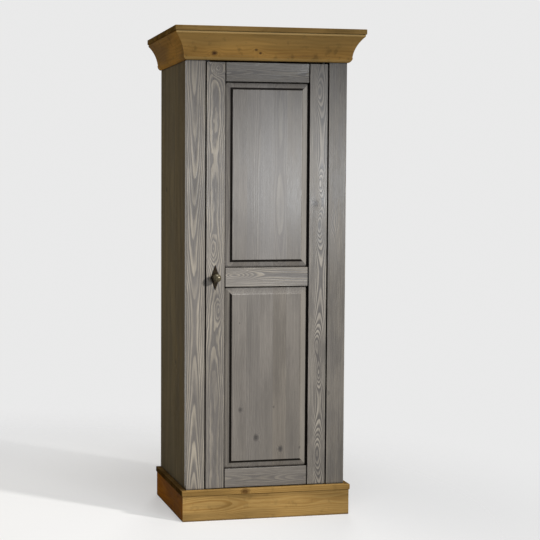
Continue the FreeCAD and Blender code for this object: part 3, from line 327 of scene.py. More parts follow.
def make_knot():
    """One knot: rings bulge round it, its core is dark and a darker rim closes it."""
    inputs = (("Place", VECTOR, (0, 0, 0)), ("Centre", VECTOR, (0, 0, 0)), ("Radius", FLOAT, 0.006),
              ("Squeeze", VECTOR, KNOT_SQUEEZE))
    tree, given, result = new_group("knot", inputs, ("Bulge", "Core", "Rim"))
    away = vector_maths(tree, "SUBTRACT", given["Place"], given["Centre"])
    away = vector_maths(tree, "MULTIPLY", away, given["Squeeze"])
    reach = maths(tree, "DIVIDE", length(tree, away), given["Radius"])
    fall = maths(tree, "MULTIPLY_ADD", product(tree, reach, reach), KNOT_FALL, 1.0)
    fall = maths(tree, "DIVIDE", 1.0, fall)
    feed(tree, product(tree, fall, fall, given["Radius"], KNOT_BULGE), result["Bulge"])
    size = sway(tree, reach, pattern(tree, given["Place"], KNOT_EDGES, detail=1.0), KNOT_UNEVEN)
    feed(tree, soft_step(tree, size, *CORE_END, 1.0, 0.0), result["Core"])
    rim = product(tree, soft_step(tree, size, *RIM_START), soft_step(tree, size, *RIM_END, 1.0, 0.0))
    feed(tree, rim, result["Rim"])
    return tree


# How far a normal turns at a worn edge, and where the noise of its patches comes in
EDGE_TURN = (0.01, 0.2)
WEAR_RANGE = (0.3, 0.65)
# How much open air leaves a place unshaded, where the noise of the painted shade comes in, and the least of
# it that is painted
OPEN_AIR = (0.46, 0.9)
SHADE_NOISE_RANGE = (0.2, 0.6)
SHADE_LEAST = 0.75


def make_worn_edges():
    """Marks the rubbed edges of a piece."""
    inputs = (("Width", FLOAT, 0.002), ("Place", VECTOR, (0, 0, 0)))
    tree, given, result = new_group("worn_edges", inputs, ("Edge",))
    rounded = new_node(tree, "ShaderNodeBevel", {"Radius": given["Width"]}, samples=4).outputs[0]
    plain = new_node(tree, "ShaderNodeNewGeometry").outputs["Normal"]
    facing = new_node(tree, "ShaderNodeVectorMath", {0: rounded, 1: plain}, operation="DOT_PRODUCT")
    turned = maths(tree, "SUBTRACT", 1.0, facing.outputs["Value"])
    patchy = soft_step(tree, pattern(tree, given["Place"], WORN_PATCHES), *WEAR_RANGE)
    feed(tree, product(tree, soft_step(tree, turned, *EDGE_TURN), patchy), result["Edge"])
    return tree


def make_painted_recess_shade():
    """Marks the recesses, joints and inner corners that open air hardly reaches, as painted shade."""
    inputs = (("Reach", FLOAT, 0.012), ("Place", VECTOR, (0, 0, 0)))
    tree, given, result = new_group("painted_recess_shade", inputs, ("Shade",))
    air = new_node(tree, "ShaderNodeAmbientOcclusion", {"Distance": given["Reach"]}, samples=8).outputs["AO"]
    patchy = pattern(tree, given["Place"], SHADE_PATCHES)
    patchy = soft_step(tree, patchy, *SHADE_NOISE_RANGE, SHADE_LEAST, 1.0)
    feed(tree, product(tree, soft_step(tree, air, *OPEN_AIR, 1.0, 0.0), patchy), result["Shade"])
    return tree


PINE_FIGURE = make_pine_figure()
KNOT = make_knot()
WORN_EDGES = make_worn_edges()
PAINTED_RECESS_SHADE = make_painted_recess_shade()

# How a board lies: the turn that brings its width to X, its thickness to Y and its length to Z
RUNS = {
    "upright": (0, 0, 0),
    "side": (0, 0, math.radians(-90)),
    "rail": (0, math.radians(90), 0),
    "flat": (0, math.radians(90), math.radians(-90)),
    "return": (math.radians(90), 0, math.radians(90)),
}

# Figures of the boards: arches near the heart, quiet boards far from it, and boards glued from strips
FLAME = {"ring_width": 0.0037, "slope": 0.012, "heart_depth": 0.045, "wander": 0.06}
QUIET = {"ring_width": 0.0040, "slope": 0.006, "heart_depth": 0.11, "wander": 0.035, "curl": 0.003}
GLUED = {"ring_width": 0.0045, "slope": 0.0015, "heart_depth": 0.05, "heart_shift": 0.4, "wander": 0.03,
         "curl": 0.0035, "strip_width": 0.055}

# Finishes: colours of soft and hard wood, of knots, which also colour painted shade and dark joints, and of
# worn edges and painted highlights; and how strong the effects are, the painted shade in recesses among them
GREY_GLAZE = {
    "soft": (0.145, 0.133, 0.123), "hard": (0.375, 0.335, 0.275), "knot": (0.050, 0.045, 0.043),
    "edge": (0.40, 0.37, 0.32), "wear": 0.75, "grain": 1.0, "cloud": 0.16, "rough": (0.23, 0.31),
    "relief": 0.0003, "gloss": 0.5, "shade_in_recesses": 0.9, "blots": 0.0,
}
BRUSHED_GLAZE = dict(GREY_GLAZE, soft=(0.136, 0.125, 0.116), hard=(0.440, 0.400, 0.345))
PALE_GLAZE = dict(GREY_GLAZE, soft=(0.178, 0.165, 0.154), hard=(0.255, 0.238, 0.213),
                  knot=(0.034, 0.030, 0.028), grain=0.8, relief=0.0001)
WARM_GLAZE = dict(PALE_GLAZE, soft=(0.182, 0.166, 0.149), hard=(0.260, 0.239, 0.207))
# The left side's olive tint is partly its own browner wood and partly painted warm bounce light on its shaded
# face; the right side's glaze below is plainer grey
BOUNCE_TINTED_SIDE_GLAZE = dict(GREY_GLAZE, soft=(0.188, 0.160, 0.108), hard=(0.262, 0.225, 0.155), relief=0.0002,
                  rough=(0.66, 0.78), gloss=0.03, wear=0.2, cloud=0.25)
GREY_SIDE_GLAZE = dict(BOUNCE_TINTED_SIDE_GLAZE, soft=(0.190, 0.173, 0.150), hard=(0.272, 0.248, 0.212))
HONEY_WAX = {
    "soft": (0.350, 0.196, 0.051), "hard": (0.260, 0.133, 0.030), "knot": (0.045, 0.016, 0.007),
    "edge": (0.44, 0.30, 0.12), "wear": 0.4, "grain": 0.8, "cloud": 0.45, "rough": (0.46, 0.58),
    "relief": 0.00015, "gloss": 0.1, "shade_in_recesses": 0.7, "blots": 0.28,
}
EVEN_WAX = dict(HONEY_WAX, cloud=0.3, blots=0.36)
LIGHT_WAX = dict(HONEY_WAX, soft=(0.335, 0.212, 0.074), hard=(0.250, 0.144, 0.043), cloud=0.4, blots=0.15)
MATT_WAX = dict(LIGHT_WAX, rough=(0.62, 0.74), gloss=0.0)
RETURN_WAX = dict(HONEY_WAX, rough=(0.62, 0.74), gloss=0.03)
# A darker, redder copy of the return wax for the left plinth return: painted shade
SHADED_RETURN_WAX = dict(RETURN_WAX, soft=(0.360, 0.135, 0.009), hard=(0.265, 0.088, 0.004))
PLAIN_PINE = {
    "soft": (0.620, 0.450, 0.255), "hard": (0.470, 0.290, 0.130), "knot": (0.110, 0.050, 0.020),
    "edge": (0.66, 0.50, 0.31), "wear": 0.3, "grain": 0.8, "cloud": 0.18, "rough": (0.52, 0.66),
    "relief": 0.0002, "gloss": 0.35, "shade_in_recesses": 0.3, "blots": 0.0,
}

# Widths of the lines of painted shade and of the dark joints at the rails' shoulders, the blur of their
# edges, and how much of the wood they and the painted highlight cover
STEP_LINE = 0.0085
STILE_LINE = 0.0084
RAIL_LINE = 0.0036
SHOULDER_LINE = 0.0048
GAP_LINE = 0.0013
TOP_LINE = 0.0014
BLUR = 0.0006
LINE_SHARE = 0.95
SHOULDER_SHARE = 0.97
END_SHARE = 0.62
HIGHLIGHT_SHARE = 0.3
# The line on the door's top runs just past its corners
CORNER_ROOM = 0.0002
# Behind the door's face: where the painted shade lines on a panel end, and where the painted shade in a gap
# thins out
PANEL_SHADE_DEPTH = 0.0135
GAP_SHADE_DEPTHS = (0.0065, 0.0145)
# The painted shade on the base board's ends: its blur, and where it comes in behind the front
END_BLUR = 0.001
END_SHADE_DEPTHS = (0.001, 0.012)


# Painted shade, painted highlight and dark joints: each function marks a kind of place on a board
def past(tree, value, edge):
    return soft_step(tree, value, edge - BLUR, edge + BLUR)


def before(tree, value, edge):
    return soft_step(tree, value, edge - BLUR, edge + BLUR, 1.0, 0.0)


def field_lines(tree, spot, low, high, dark_top):
    """Marks painted shade on a panel where shadows fall: left of its field, below and perhaps above it,
    and along the frame on the right and above. The second mark is a painted highlight on the lit rim on the
    right."""
    place = separate(tree, spot)
    left = maths(tree, "SUBTRACT", -FIELD_HALF, place["X"])
    right = maths(tree, "SUBTRACT", place["X"], FIELD_HALF)
    below = maths(tree, "SUBTRACT", low, place["Z"])
    above = maths(tree, "SUBTRACT", place["Z"], high)
    dark = largest(tree, left, below, above) if dark_top else largest(tree, left, below)
    pale = right if dark_top else largest(tree, right, above)
    out = largest(tree, dark, pale)
    # Painted shadows: left of and below the field, perhaps above it, beside the right stile and under the
    # rail above
    step = product(tree, past(tree, out, 0.0), before(tree, out, STEP_LINE),
                   past(tree, maths(tree, "SUBTRACT", dark, pale), 0.0))
    beside = past(tree, right, RIM_WIDTH - STILE_LINE)
    under = past(tree, above, RIM_WIDTH - RAIL_LINE)
    painted_field_shade = largest(tree, step, beside, under)
    others = largest(tree, left, below, above)
    # Painted highlight on the lit rim on the right
    painted_highlights = product(tree, past(tree, right, 0.0), past(tree, maths(tree, "SUBTRACT", right, others), 0.0))
    front = before(tree, place["Y"], DOOR_FACE + PANEL_SHADE_DEPTH)
    return product(tree, painted_field_shade, front, LINE_SHARE), product(tree, painted_highlights, front, HIGHLIGHT_SHARE)


def gap_lines(tree, spot, gaps=()):
    """Marks painted shade on the door's top edge, and on front edges along gaps, each given by its place
    across the cupboard.
    """
    place = separate(tree, spot)
    marks = [product(tree, maths(tree, "COMPARE", place["Z"], DOOR_TOP, TOP_LINE),
                     maths(tree, "COMPARE", place["X"], 0.0, DOOR_HALF + CORNER_ROOM))]
    for gap in gaps:
        away = maths(tree, "ABSOLUTE", maths(tree, "SUBTRACT", place["X"], gap))
        marks.append(before(tree, away, GAP_LINE))
    start, end = (DOOR_FACE + depth for depth in GAP_SHADE_DEPTHS)
    return product(tree, largest(tree, *marks), soft_step(tree, place["Y"], start, end, LINE_SHARE, 0.0))


def gap_lines_at(*gaps):
    return partial(gap_lines, gaps=gaps)


def shoulder_lines(tree, spot):
    """Marks the two ends of a rail, beside the stiles."""
    across = maths(tree, "ABSOLUTE", separate(tree, spot)["X"])
    return product(tree, past(tree, across, STILE_INSIDE - SHOULDER_LINE), SHOULDER_SHARE)


def shaded_ends(tree, spot):
    """Marks painted shade on the ends of the base board beside the carcass, behind its front edge."""
    place = separate(tree, spot)
    across = maths(tree, "ABSOLUTE", place["X"])
    outside = soft_step(tree, across, CARCASS_HALF - END_BLUR, CARCASS_HALF + END_BLUR, 0.0, END_SHARE)
    start, end = (BASE_FACE + depth for depth in END_SHADE_DEPTHS)
    return product(tree, outside, soft_step(tree, place["Y"], start, end))


# Glued strips are warmer or cooler than their neighbours, and paler or darker
WARM_STRIP = (1.03, 1.0, 0.965, 1)
COOL_STRIP = (0.985, 0.99, 1.02, 1)
STRIP_SHADES = (0.93, 1.07)
# How far fibres and streaks darken and lighten the stain, where the noises mostly lie, and where blots do
FIBRE_SHADES = (0.13, 0.1)
STREAK_SHADES = (0.1, 0.08)
NOISE_RANGE = (0.3, 0.7)
BLOT_RANGE = (0.56, 0.70)
# Share of the rings left below the calm heights, and the height from which painted shade darkens the boards
# on the right towards the top
CALM_SHARE = 0.55
TOP_SHADE_START = 1.35
# The knot's colour: its share in rims and cores, how dark it is as painted shade and dark joints, and how
# strong these are once matt
RIM_SHARE = 0.6
CORE_SHARE = 0.92
SHADE_DARKNESS = 0.35
MATT_SHADE = 0.9
# Width of a worn edge, the range of the sheen, the fibres' share of the relief, and the strength of it
WORN_WIDTH = 0.0032
SHEEN_RANGE = (0.7, 1.3)
FIBRE_RELIEF = 0.5
RELIEF_STRENGTH = 0.6


# The wood of a board
def toned(colour, tone=1.0):
    return tuple(part * tone for part in colour) + (1,)


def grow_knots(tree, place, knots):
    """The knots of a board: how far they push its rings, and the marks of their cores and rims.
    One with no darkness lies below the face, as an eye."""
    bulge, core, rim = 0.0, None, None
    for centre, radius, dark, *squeeze in knots:
        usual_squeeze = KNOT_SQUEEZE if dark else EYE_SQUEEZE
        inputs = {"Place": place, "Centre": centre, "Radius": radius,
                  "Squeeze": squeeze[0] if squeeze else usual_squeeze}
        knot = new_node(tree, "ShaderNodeGroup", inputs, node_tree=KNOT).outputs
        bulge = maths(tree, "MULTIPLY_ADD", knot["Bulge"], 1.0 if dark else EYE_DIP, bulge)
        if dark:
            heart = product(tree, knot["Core"], dark)
            ring = product(tree, knot["Rim"], dark)
            core = largest(tree, core, heart) if core else heart
            rim = largest(tree, rim, ring) if rim else ring
    return bulge, core, rim


def grain_shade(tree, spot, wood, finish):
    """How fibres, streaks, clouds, strips and blots darken and lighten the stain."""
    depths = {"Fibre": [part * finish["grain"] for part in FIBRE_SHADES],
              "Streak": [part * finish["grain"] for part in STREAK_SHADES],
              "Cloud": [finish["cloud"], finish["cloud"] / 2]}
    shades = [soft_step(tree, wood[kind], *NOISE_RANGE, 1 - darker, 1 + lighter)
              for kind, (darker, lighter) in depths.items()]
    shades.append(soft_step(tree, wood["Strip"], 0.0, 1.0, *STRIP_SHADES))
    if finish["blots"]:
        blots = pattern(tree, spot, BLOTS, detail=3.0)
        shades.append(soft_step(tree, blots, *BLOT_RANGE, 1.0, 1 - finish["blots"]))
    return product(tree, *shades)


def stain_wood(tree, spot, wood, finish, tone, contrast, calm, top_shade, glued):
    """The colour of the stained wood without its knots, darkened towards the door's top by painted shade
    where asked.
    """
    height = separate(tree, spot)["Z"]
    hard = product(tree, wood["Latewood"], contrast)
    if calm:
        hard = product(tree, hard, soft_step(tree, height, *calm, CALM_SHARE, 1.0))
    colour = blend_colours(tree, hard, toned(finish["soft"], tone), toned(finish["hard"], tone))
    # Painted shade: the boards on the right grow darker towards the door's top
    if top_shade:
        darker = soft_step(tree, height, TOP_SHADE_START, DOOR_TOP, 1.0, top_shade)
        colour = blend_colours(tree, 1.0, colour, darker, "MULTIPLY")
    colour = blend_colours(tree, 1.0, colour, grain_shade(tree, spot, wood, finish), "MULTIPLY")
    if glued:
        tint = blend_colours(tree, wood["Strip"], WARM_STRIP, COOL_STRIP)
        colour = blend_colours(tree, 1.0, colour, tint, "MULTIPLY")
    return colour


def wear_and_painted_highlights(tree, spot, place, finish, painted_highlights):
    """Marks the worn edges of a board and its painted highlights at given heights."""
    edges = new_node(tree, "ShaderNodeGroup", {"Place": place, "Width": WORN_WIDTH}, node_tree=WORN_EDGES)
    height = separate(tree, spot)["Z"]
    marks = [soft_step(tree, height, start, end, 0.0, share) for start, end, share in painted_highlights]
    return largest(tree, product(tree, edges.outputs["Edge"], finish["wear"]), *marks)


def make_skin(tree, surface, wood, finish):
    """The sheen and the brushed relief of a board."""
    sheen = maths(tree, "ADD", wood["Fibre"], wood["Cloud"])
    feed(tree, soft_step(tree, sheen, *SHEEN_RANGE, *finish["rough"]), surface.inputs["Roughness"])
    height = maths(tree, "MULTIPLY_ADD", wood["Fibre"], FIBRE_RELIEF, wood["Latewood"])
    inputs = {"Height": height, "Strength": RELIEF_STRENGTH, "Distance": finish["relief"]}
    feed(tree, new_node(tree, "ShaderNodeBump", inputs).outputs[0], surface.inputs["Normal"])


def pine_material(name, finish, run, seed, tone=1.0, contrast=1.0, knots=(), calm=None, top_shade=None, painted_highlights=(),
                  lines=(), field=None, **figure):
    """The wood of one board, in its own place in the tree. The tone scales its colours, lighter or darker;
    on the door's top rail a low tone is painted shade under the cornice.

    A knot is its centre, its radius, how dark it is and perhaps its squeeze. Most go through the board,
    so their centre is 0 that way. Calm is two heights between which the rings come out, and fade is the
    share of colour left at the door's top by painted shade. A painted highlight goes from a height to a
    height and has a share of the edge's colour. Lines are functions that mark painted shade and dark joints.
    A panel's field is its bottom, its top and whether it has painted shade above it.
    """
    low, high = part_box(name)
    middle = (low + high) / 2
    turn = Euler(RUNS[run]).to_matrix()
    material, tree, surface = new_material(name + "_wood")
    spot = new_node(tree, "ShaderNodeTexCoord").outputs["Object"]
    place = new_node(tree, "ShaderNodeMapping", {
        "Vector": spot, "Location": -(turn @ middle), "Rotation": RUNS[run]}).outputs[0]

    # Rings and knots
    placed_knots = [(turn @ (Vector(centre) - middle), *rest) for centre, *rest in knots]
    bulge, core, rim = grow_knots(tree, place, placed_knots)
    growth = {socket.replace("_", " ").title(): setting for socket, setting in figure.items()}
    growth.update({"Place": place, "Seed": seed, "Bulge": bulge})
    wood = new_node(tree, "ShaderNodeGroup", growth, node_tree=PINE_FIGURE).outputs
    colour = stain_wood(tree, spot, wood, finish, tone, contrast, calm, top_shade, "strip_width" in figure)
    if core:
        colour = blend_colours(tree, product(tree, rim, RIM_SHARE), colour, toned(finish["knot"]))
        colour = blend_colours(tree, product(tree, core, CORE_SHARE), colour, toned(finish["knot"]))

    # Wear and painted highlights, then painted shade and dark joints, which are matt
    wear_and_highlight_colour = toned(finish["edge"], tone)
    colour = blend_colours(tree, wear_and_painted_highlights(tree, spot, place, finish, painted_highlights), colour, wear_and_highlight_colour)
    # Painted shade in recesses that little open air reaches
    shade_in_recesses = new_node(tree, "ShaderNodeGroup", {"Place": place}, node_tree=PAINTED_RECESS_SHADE).outputs["Shade"]
    marks = [line(tree, spot) for line in lines]
    if field:
        painted_field_shade, painted_highlight_rim = field_lines(tree, spot, *field)
        colour = blend_colours(tree, painted_highlight_rim, colour, wear_and_highlight_colour)
        marks.append(painted_field_shade)
    # Painted shade in recesses, gaps and on the panels, with the dark joints at the rails' shoulders, darkens
    # and dulls the colour
    joints_and_painted_shade = largest(tree, product(tree, shade_in_recesses, finish["shade_in_recesses"]), *marks)
    colour = blend_colours(tree, joints_and_painted_shade, colour, toned(finish["knot"], SHADE_DARKNESS))
    feed(tree, colour, surface.inputs["Base Color"])
    gloss = finish["gloss"]
    if gloss and marks:
        gloss = soft_step(tree, joints_and_painted_shade, 0.0, MATT_SHADE, gloss, 0.0)
    feed(tree, gloss, surface.inputs["Specular IOR Level"])
    make_skin(tree, surface, wood, finish)
    dress(name, material)


# The boards, each with its own seed
def dress_posts():
    pine_material("post_left", GREY_GLAZE, "upright", 1.0, tone=1.1, lines=(gap_lines_at(-POST_INSIDE),),
                  **dict(FLAME, ring_width=0.0055, slope=0.037, turn=-0.32, wander=0.02))
    knots = ((0.262, 0, 1.173), 0.013, 0), ((0.262, 0, 0.493), 0.006, 0.4)
    pine_material("post_right", GREY_GLAZE, "upright", 2.0, tone=0.82, contrast=0.9, knots=knots, top_shade=0.70,
                  lines=(gap_lines_at(POST_INSIDE),), **dict(FLAME, heart_shift=0.12, wander=0.03))


def dress_door_stiles():
    knots = (((-0.204, 0, 1.783), 0.012, 0.02), ((-0.222, 0, 1.075), 0.012, 0),
             ((-0.196, 0, 0.835), 0.010, 0))
    pine_material("door_stile_left", GREY_GLAZE, "upright", 3.0, tone=1.06, contrast=0.95, knots=knots,
                  calm=(0.45, 0.75), lines=(gap_lines_at(-DOOR_HALF),),
                  **dict(FLAME, ring_width=0.0042, heart_depth=0.07, curl=0.009, wander=0.03))
    knots = (((0.205, 0, 1.700), 0.012, 0), ((0.216, 0, 1.335), 0.010, 0), ((0.200, 0, 1.257), 0.009, 0.75),
             ((0.211, 0, 1.168), 0.014, 0), ((0.201, 0, 0.693), 0.015, 0), ((0.218, 0, 0.575), 0.010, 0),
             ((0.207, 0, 0.250), 0.019, 0))
    pine_material("door_stile_right", BRUSHED_GLAZE, "upright", 4.0, tone=0.85, contrast=1.1, knots=knots,
                  top_shade=0.77, lines=(gap_lines_at(STILE_INSIDE, DOOR_HALF),),
                  **dict(FLAME, ring_width=0.0042, wander=0.02))


def dress_door_rails():
    # The top rail's low tone is painted shade from the cornice above
    pine_material("door_rail_top", GREY_GLAZE, "rail", 5.0, tone=0.69, contrast=0.75,
                  lines=(shoulder_lines, gap_lines), **FLAME)
    pine_material("door_rail_middle", GREY_GLAZE, "rail", 6.0, tone=1.03, contrast=0.65,
                  knots=(((-0.135, 0, 0.972), 0.013, 0),), lines=(shoulder_lines,), **FLAME)
    pine_material("door_rail_bottom", GREY_GLAZE, "rail", 7.0, tone=1.05, contrast=0.38,
                  lines=(shoulder_lines,), **FLAME)


def field_between(rail_below, rail_above):
    """Bottom and top of the raised field between two rails."""
    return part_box(rail_below)[1].z + RIM_WIDTH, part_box(rail_above)[0].z - RIM_WIDTH


def dress_door_panels():
    pine_material("door_panel_upper", PALE_GLAZE, "upright", 8.0, tone=0.97, top_shade=0.77,
                  field=(*field_between("door_rail_middle", "door_rail_top"), True), **GLUED)
    knots = (((-0.107, 0, 0.437), 0.006, 0.8), ((-0.041, 0, 0.323), 0.008, 0.9),
             ((0.061, 0, 0.274), 0.007, 1), ((0.142, 0, 0.277), 0.0035, 1),
             ((-0.110, 0, 0.783), 0.002, 0.8), ((0.032, 0, 0.444), 0.003, 0.6))
    pine_material("door_panel_lower", WARM_GLAZE, "upright", 9.0, tone=0.84, knots=knots,
                  field=(*field_between("door_rail_bottom", "door_rail_middle"), False), **GLUED)


def dress_carcass():
    wide_strips = dict(GLUED, strip_width=0.085)
    knots = ((0, 0.155, 1.310), 0.007, 0.7), ((0, -0.020, 0.610), 0.006, 0.7)
    # The left side's warm tint is in part painted bounce light
    pine_material("side_left", BOUNCE_TINTED_SIDE_GLAZE, "side", 10.0, knots=knots, **wide_strips)
    knots = ((0, 0.060, 1.540), 0.008, 0.8), ((0, 0.170, 0.880), 0.006, 0.8), ((0, -0.110, 0.430), 0.007, 0.8)
    pine_material("side_right", GREY_SIDE_GLAZE, "side", 11.0, knots=knots, **wide_strips)
    pine_material("top_rail", GREY_GLAZE, "rail", 12.0, tone=0.4, **FLAME)
    pine_material("door_stop", GREY_GLAZE, "upright", 13.0, **FLAME)


def dress_top_and_base():
    wide_strips = dict(GLUED, strip_width=0.09)
    knots = ((-0.210, 0.080, 0), 0.009, 0.9), ((0.140, -0.090, 0), 0.007, 0.9)
    pine_material("top_board", MATT_WAX, "flat", 20.0, tone=0.86, contrast=0.8, knots=knots, **wide_strips)
    edge_knot = ((-0.09, -0.222, 0.1135), 0.009, 0.8, (1, 1, 0.6))
    pine_material("base_board", MATT_WAX, "flat", 21.0, contrast=0.7, knots=(edge_knot,),
                  lines=(shaded_ends,), **wide_strips)


def dress_cornice():
    """Its front is painted paler up the cove, down the foot and on the lip, as painted highlights."""
    lip_bottom = CORNICE_TOP - LIP_HEIGHT
    cove = (CORNICE_BOTTOM + 0.021, CORNICE_BOTTOM + 0.081, 0.35)
    foot = (CORNICE_BOTTOM + 0.014, CORNICE_BOTTOM + 0.006, 0.5)
    lip = (lip_bottom - BLUR, lip_bottom + BLUR, 0.9)
    knots = (((-0.222, 0, 1.840), 0.0065, 1), ((-0.054, 0, 1.855), 0.0036, 1),
             ((-0.036, 0, 1.843), 0.0036, 1))
    # The front's high tone makes up in part for the dim light on the cornice: painted light
    pine_material("cornice_front", EVEN_WAX, "rail", 22.0, tone=1.70, contrast=0.9, knots=knots,
                  painted_highlights=(cove, foot, lip), **QUIET)
    pine_material("cornice_left", RETURN_WAX, "return", 23.0, tone=1.4, contrast=0.6, **QUIET)
    pine_material("cornice_right", RETURN_WAX, "return", 24.0, tone=1.3, contrast=0.6, **QUIET)


def dress_plinth():
    pine_material("plinth_front", LIGHT_WAX, "rail", 25.0, tone=1.14, contrast=1.2,
                  **dict(QUIET, heart_depth=0.06, wander=0.06))
    # Its darker wax is painted shade
    pine_material("plinth_left", SHADED_RETURN_WAX, "return", 26.0, tone=1.1, contrast=0.7, **QUIET)
    pine_material("plinth_right", RETURN_WAX, "return", 27.0, tone=1.1, contrast=0.7, **QUIET)
    pine_material("plinth_back", PLAIN_PINE, "rail", 28.0, **QUIET)
    pine_material("plinth_corner_blocks", PLAIN_PINE, "upright", 29.0, **QUIET)


# A back board's large knot: its place across and up, and its radius
BACK_KNOTS = ((-0.272, 1.415, 0.008), (-0.150, 0.540, 0.010), (-0.060, 1.080, 0.007),
              (0.045, 1.660, 0.009), (0.172, 0.830, 0.006), (0.262, 0.365, 0.009))
# Its small knot is shifted across, as far below a top as the large one is above the floor, and smaller
SMALL_SHIFT = 0.02
SMALL_TOP = 2.05
SMALL_SHARE = 0.7
# A shelf's knot: its place across and back, and its radius
SHELF_KNOTS = ((-0.180, -0.050, 0.008), (0.120, 0.070, 0.006), (-0.060, 0.130, 0.007), (0.210, -0.090, 0.009))


def dress_back_boards():
    for number, (across, up, radius) in enumerate(BACK_KNOTS, start=1):
        large = ((across, 0, up), radius, 0.9)
        small = ((across + SMALL_SHIFT, 0, SMALL_TOP - up), radius * SMALL_SHARE, 0.8)
        pine_material(f"back_board_{number}", PLAIN_PINE, "upright", 30.0 + number, knots=(large, small),
                      **FLAME)


def dress_shelves():
    for number, (across, back, radius) in enumerate(SHELF_KNOTS, start=1):
        knot = ((across, back, 0), radius, 0.9)
        pine_material(f"shelf_{number}", PLAIN_PINE, "flat", 40.0 + number, knots=(knot,),
                      **dict(GLUED, strip_width=0.08))


def dress_hidden_wood():
    pine_material("back_top_rail", PLAIN_PINE, "rail", 45.0, **QUIET)
    pine_material("back_bottom_rail", PLAIN_PINE, "rail", 46.0, **QUIET)
    pine_material("base_dowels", PLAIN_PINE, "upright", 47.0, **QUIET)
    pine_material("top_dowels", PLAIN_PINE, "upright", 48.0, **QUIET)


# Where the mottling of metal is bare, the width of a bare edge, and the fine skin's share of the sheen
BARE_RANGE = (0.45, 0.8)
BARE_EDGE = 0.0012
SKIN_SHARE = 0.3
SKIN_RANGE = (0.0, 1.2)
MOTTLE_STRENGTH = 0.5


# Metal and plastic
def hardware_material(name, nodes, dark, bright, metal, rough, relief, grain, gloss=0.5):
    """Metal or plastic with a mottled skin and worn edges, from the dark skin to the bright bare places.

    Metal and rough are pairs: how metallic the skin and the bare places are, and how rough the bare places
    and the skin are. The grain is the number of spots to a metre.
    """
    material, tree, surface = new_material(name)
    place = new_node(tree, "ShaderNodeTexCoord").outputs["Object"]
    mottle = pattern(tree, place, (grain, grain, grain), detail=4.0)
    edges = new_node(tree, "ShaderNodeGroup", {"Place": place, "Width": BARE_EDGE}, node_tree=WORN_EDGES)
    bare = largest(tree, soft_step(tree, mottle, *BARE_RANGE), edges.outputs["Edge"])
    feed(tree, blend_colours(tree, bare, dark, bright), surface.inputs["Base Color"])
    skin_metal, bare_metal = metal
    metallic = skin_metal if skin_metal == bare_metal else soft_step(tree, bare, 0.0, 1.0, *metal)
    feed(tree, metallic, surface.inputs["Metallic"])
    bare_rough, skin_rough = rough
    fine = pattern(tree, place, METAL_SKIN, detail=1.0)
    sheen = maths(tree, "MULTIPLY_ADD", fine, SKIN_SHARE, bare)
    feed(tree, soft_step(tree, sheen, *SKIN_RANGE, skin_rough, bare_rough), surface.inputs["Roughness"])
    feed(tree, gloss, surface.inputs["Specular IOR Level"])
    inputs = {"Height": mottle, "Strength": MOTTLE_STRENGTH, "Distance": relief}
    feed(tree, new_node(tree, "ShaderNodeBump", inputs).outputs[0], surface.inputs["Normal"])
    for node in nodes:
        dress(node, material)


STEEL_NODES = ("back_board_screws", "catch_magnets", "catch_strikes", "door_stop_screws", "knob_bolt",
               "shelf_pins", "strike_screws")
PIVOT_NODES = ("pivot_case_plate_bottom", "pivot_case_plate_top", "pivot_case_screws",
               "pivot_door_plate_bottom", "pivot_door_plate_top", "pivot_door_screws", "pivot_pin_bottom",
               "pivot_pin_top")


def dress_hardware():
    hardware_material("antique_brass_plate", ("knob_backplate",), dark=(0.010, 0.006, 0.002, 1),
                      bright=(0.036, 0.024, 0.009, 1), metal=(0.3, 0.6), rough=(0.42, 0.55), relief=0.0004,
                      grain=140, gloss=0.15)
    hardware_material("antique_brass_knob", ("knob",), dark=(0.072, 0.059, 0.032, 1),
                      bright=(0.180, 0.156, 0.094, 1), metal=(0.3, 0.6), rough=(0.24, 0.36), relief=0.0002,
                      grain=160, gloss=0.4)
    hardware_material("plated_steel", STEEL_NODES, dark=(0.42, 0.42, 0.42, 1), bright=(0.62, 0.62, 0.61, 1),
                      metal=(1.0, 1.0), rough=(0.25, 0.42), relief=0.00005, grain=300)
    # The pivots are near black: painted shade for the gaps they sit in
    hardware_material("shaded_pivot_steel", PIVOT_NODES, dark=(0.035, 0.033, 0.031, 1),
                      bright=(0.11, 0.105, 0.10, 1), metal=(0.9, 0.9), rough=(0.32, 0.5), relief=0.00005,
                      grain=300)
    hardware_material("nylon", ("pivot_thrust_washer",), dark=(0.10, 0.10, 0.095, 1),
                      bright=(0.14, 0.14, 0.13, 1), metal=(0.0, 0.0), rough=(0.4, 0.55), relief=0.00005,
                      grain=300)


# Surroundings
BACKDROP = (0.82, 0.82, 0.82, 1)
ROOM_LIGHT = (0.06, 0.06, 0.06, 1)
FLOOR_BOUNCE = (0.20, 0.165, 0.09, 1)
FLOOR_SIZE = 14
FLOOR_ROUGH = 0.9
FLOOR_GLOW = 0.4
FADE_CENTRE = (-0.9, 0.1, 0.0)
FADE_REACH = (0.9, 2.6)


def seen_rays(tree):
    """Rays that show the surroundings: from the camera, in a reflection or through glass."""
    path = new_node(tree, "ShaderNodeLightPath").outputs
    return largest(tree, path["Is Camera Ray"], path["Is Glossy Ray"], path["Is Transmission Ray"])


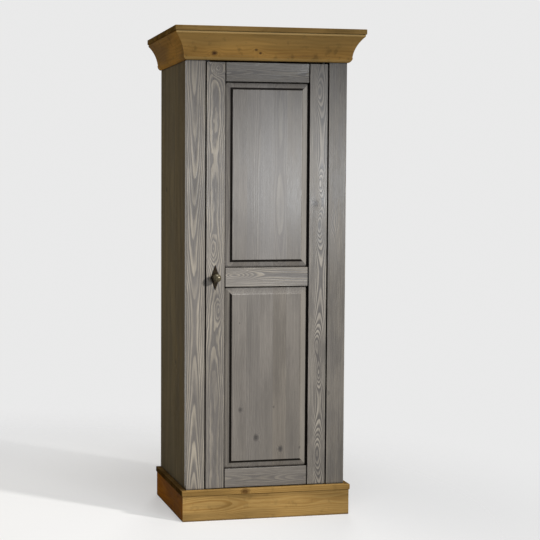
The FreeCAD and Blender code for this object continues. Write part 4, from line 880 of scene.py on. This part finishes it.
def mix_shaders(tree, share, first, second):
    return new_node(tree, "ShaderNodeMixShader", {0: share, 1: first, 2: second}).outputs[0]


def make_world():
    """Dim even light from all round; the camera and reflections see a pale backdrop."""
    world = bpy.data.worlds.new("studio")
    scene.world = world
    world.use_nodes = True
    tree = world.node_tree
    tree.nodes.clear()
    room = new_node(tree, "ShaderNodeBackground", {"Color": ROOM_LIGHT, "Strength": 1.0}).outputs[0]
    backdrop = new_node(tree, "ShaderNodeBackground", {"Color": BACKDROP, "Strength": 1.0}).outputs[0]
    new_node(tree, "ShaderNodeOutputWorld", {"Surface": mix_shaders(tree, seen_rays(tree), room, backdrop)})


def make_floor():
    """A pale floor that fades into the backdrop away from the cupboard and its shadow on the left."""
    bpy.ops.mesh.primitive_plane_add(size=FLOOR_SIZE, location=(0, 0, 0))
    floor = bpy.context.object
    floor.name = "studio_floor"
    material, tree, surface = new_material("studio_floor")
    feed(tree, BACKDROP, surface.inputs["Base Color"])
    feed(tree, FLOOR_ROUGH, surface.inputs["Roughness"])
    feed(tree, 0.0, surface.inputs["Specular IOR Level"])
    bounce = new_node(tree, "ShaderNodeBsdfDiffuse", {"Color": FLOOR_BOUNCE}).outputs[0]
    glow = new_node(tree, "ShaderNodeEmission", {"Color": BACKDROP, "Strength": 1.0}).outputs[0]
    clear = new_node(tree, "ShaderNodeBsdfTransparent").outputs[0]
    lit = mix_shaders(tree, FLOOR_GLOW, surface.outputs[0], glow)
    pale = mix_shaders(tree, seen_rays(tree), bounce, lit)
    place = new_node(tree, "ShaderNodeTexCoord").outputs["Object"]
    distance = length(tree, vector_maths(tree, "SUBTRACT", place, FADE_CENTRE))
    faded = mix_shaders(tree, soft_step(tree, distance, *FADE_REACH), pale, clear)
    feed(tree, faded, tree.nodes["Material Output"].inputs["Surface"])
    floor.data.materials.append(material)


make_camera()
make_world()
make_floor()
make_lights()
dress_posts()
dress_door_stiles()
dress_door_rails()
dress_door_panels()
dress_carcass()
dress_top_and_base()
dress_cornice()
dress_plinth()
dress_back_boards()
dress_shelves()
dress_hidden_wood()
dress_hardware()
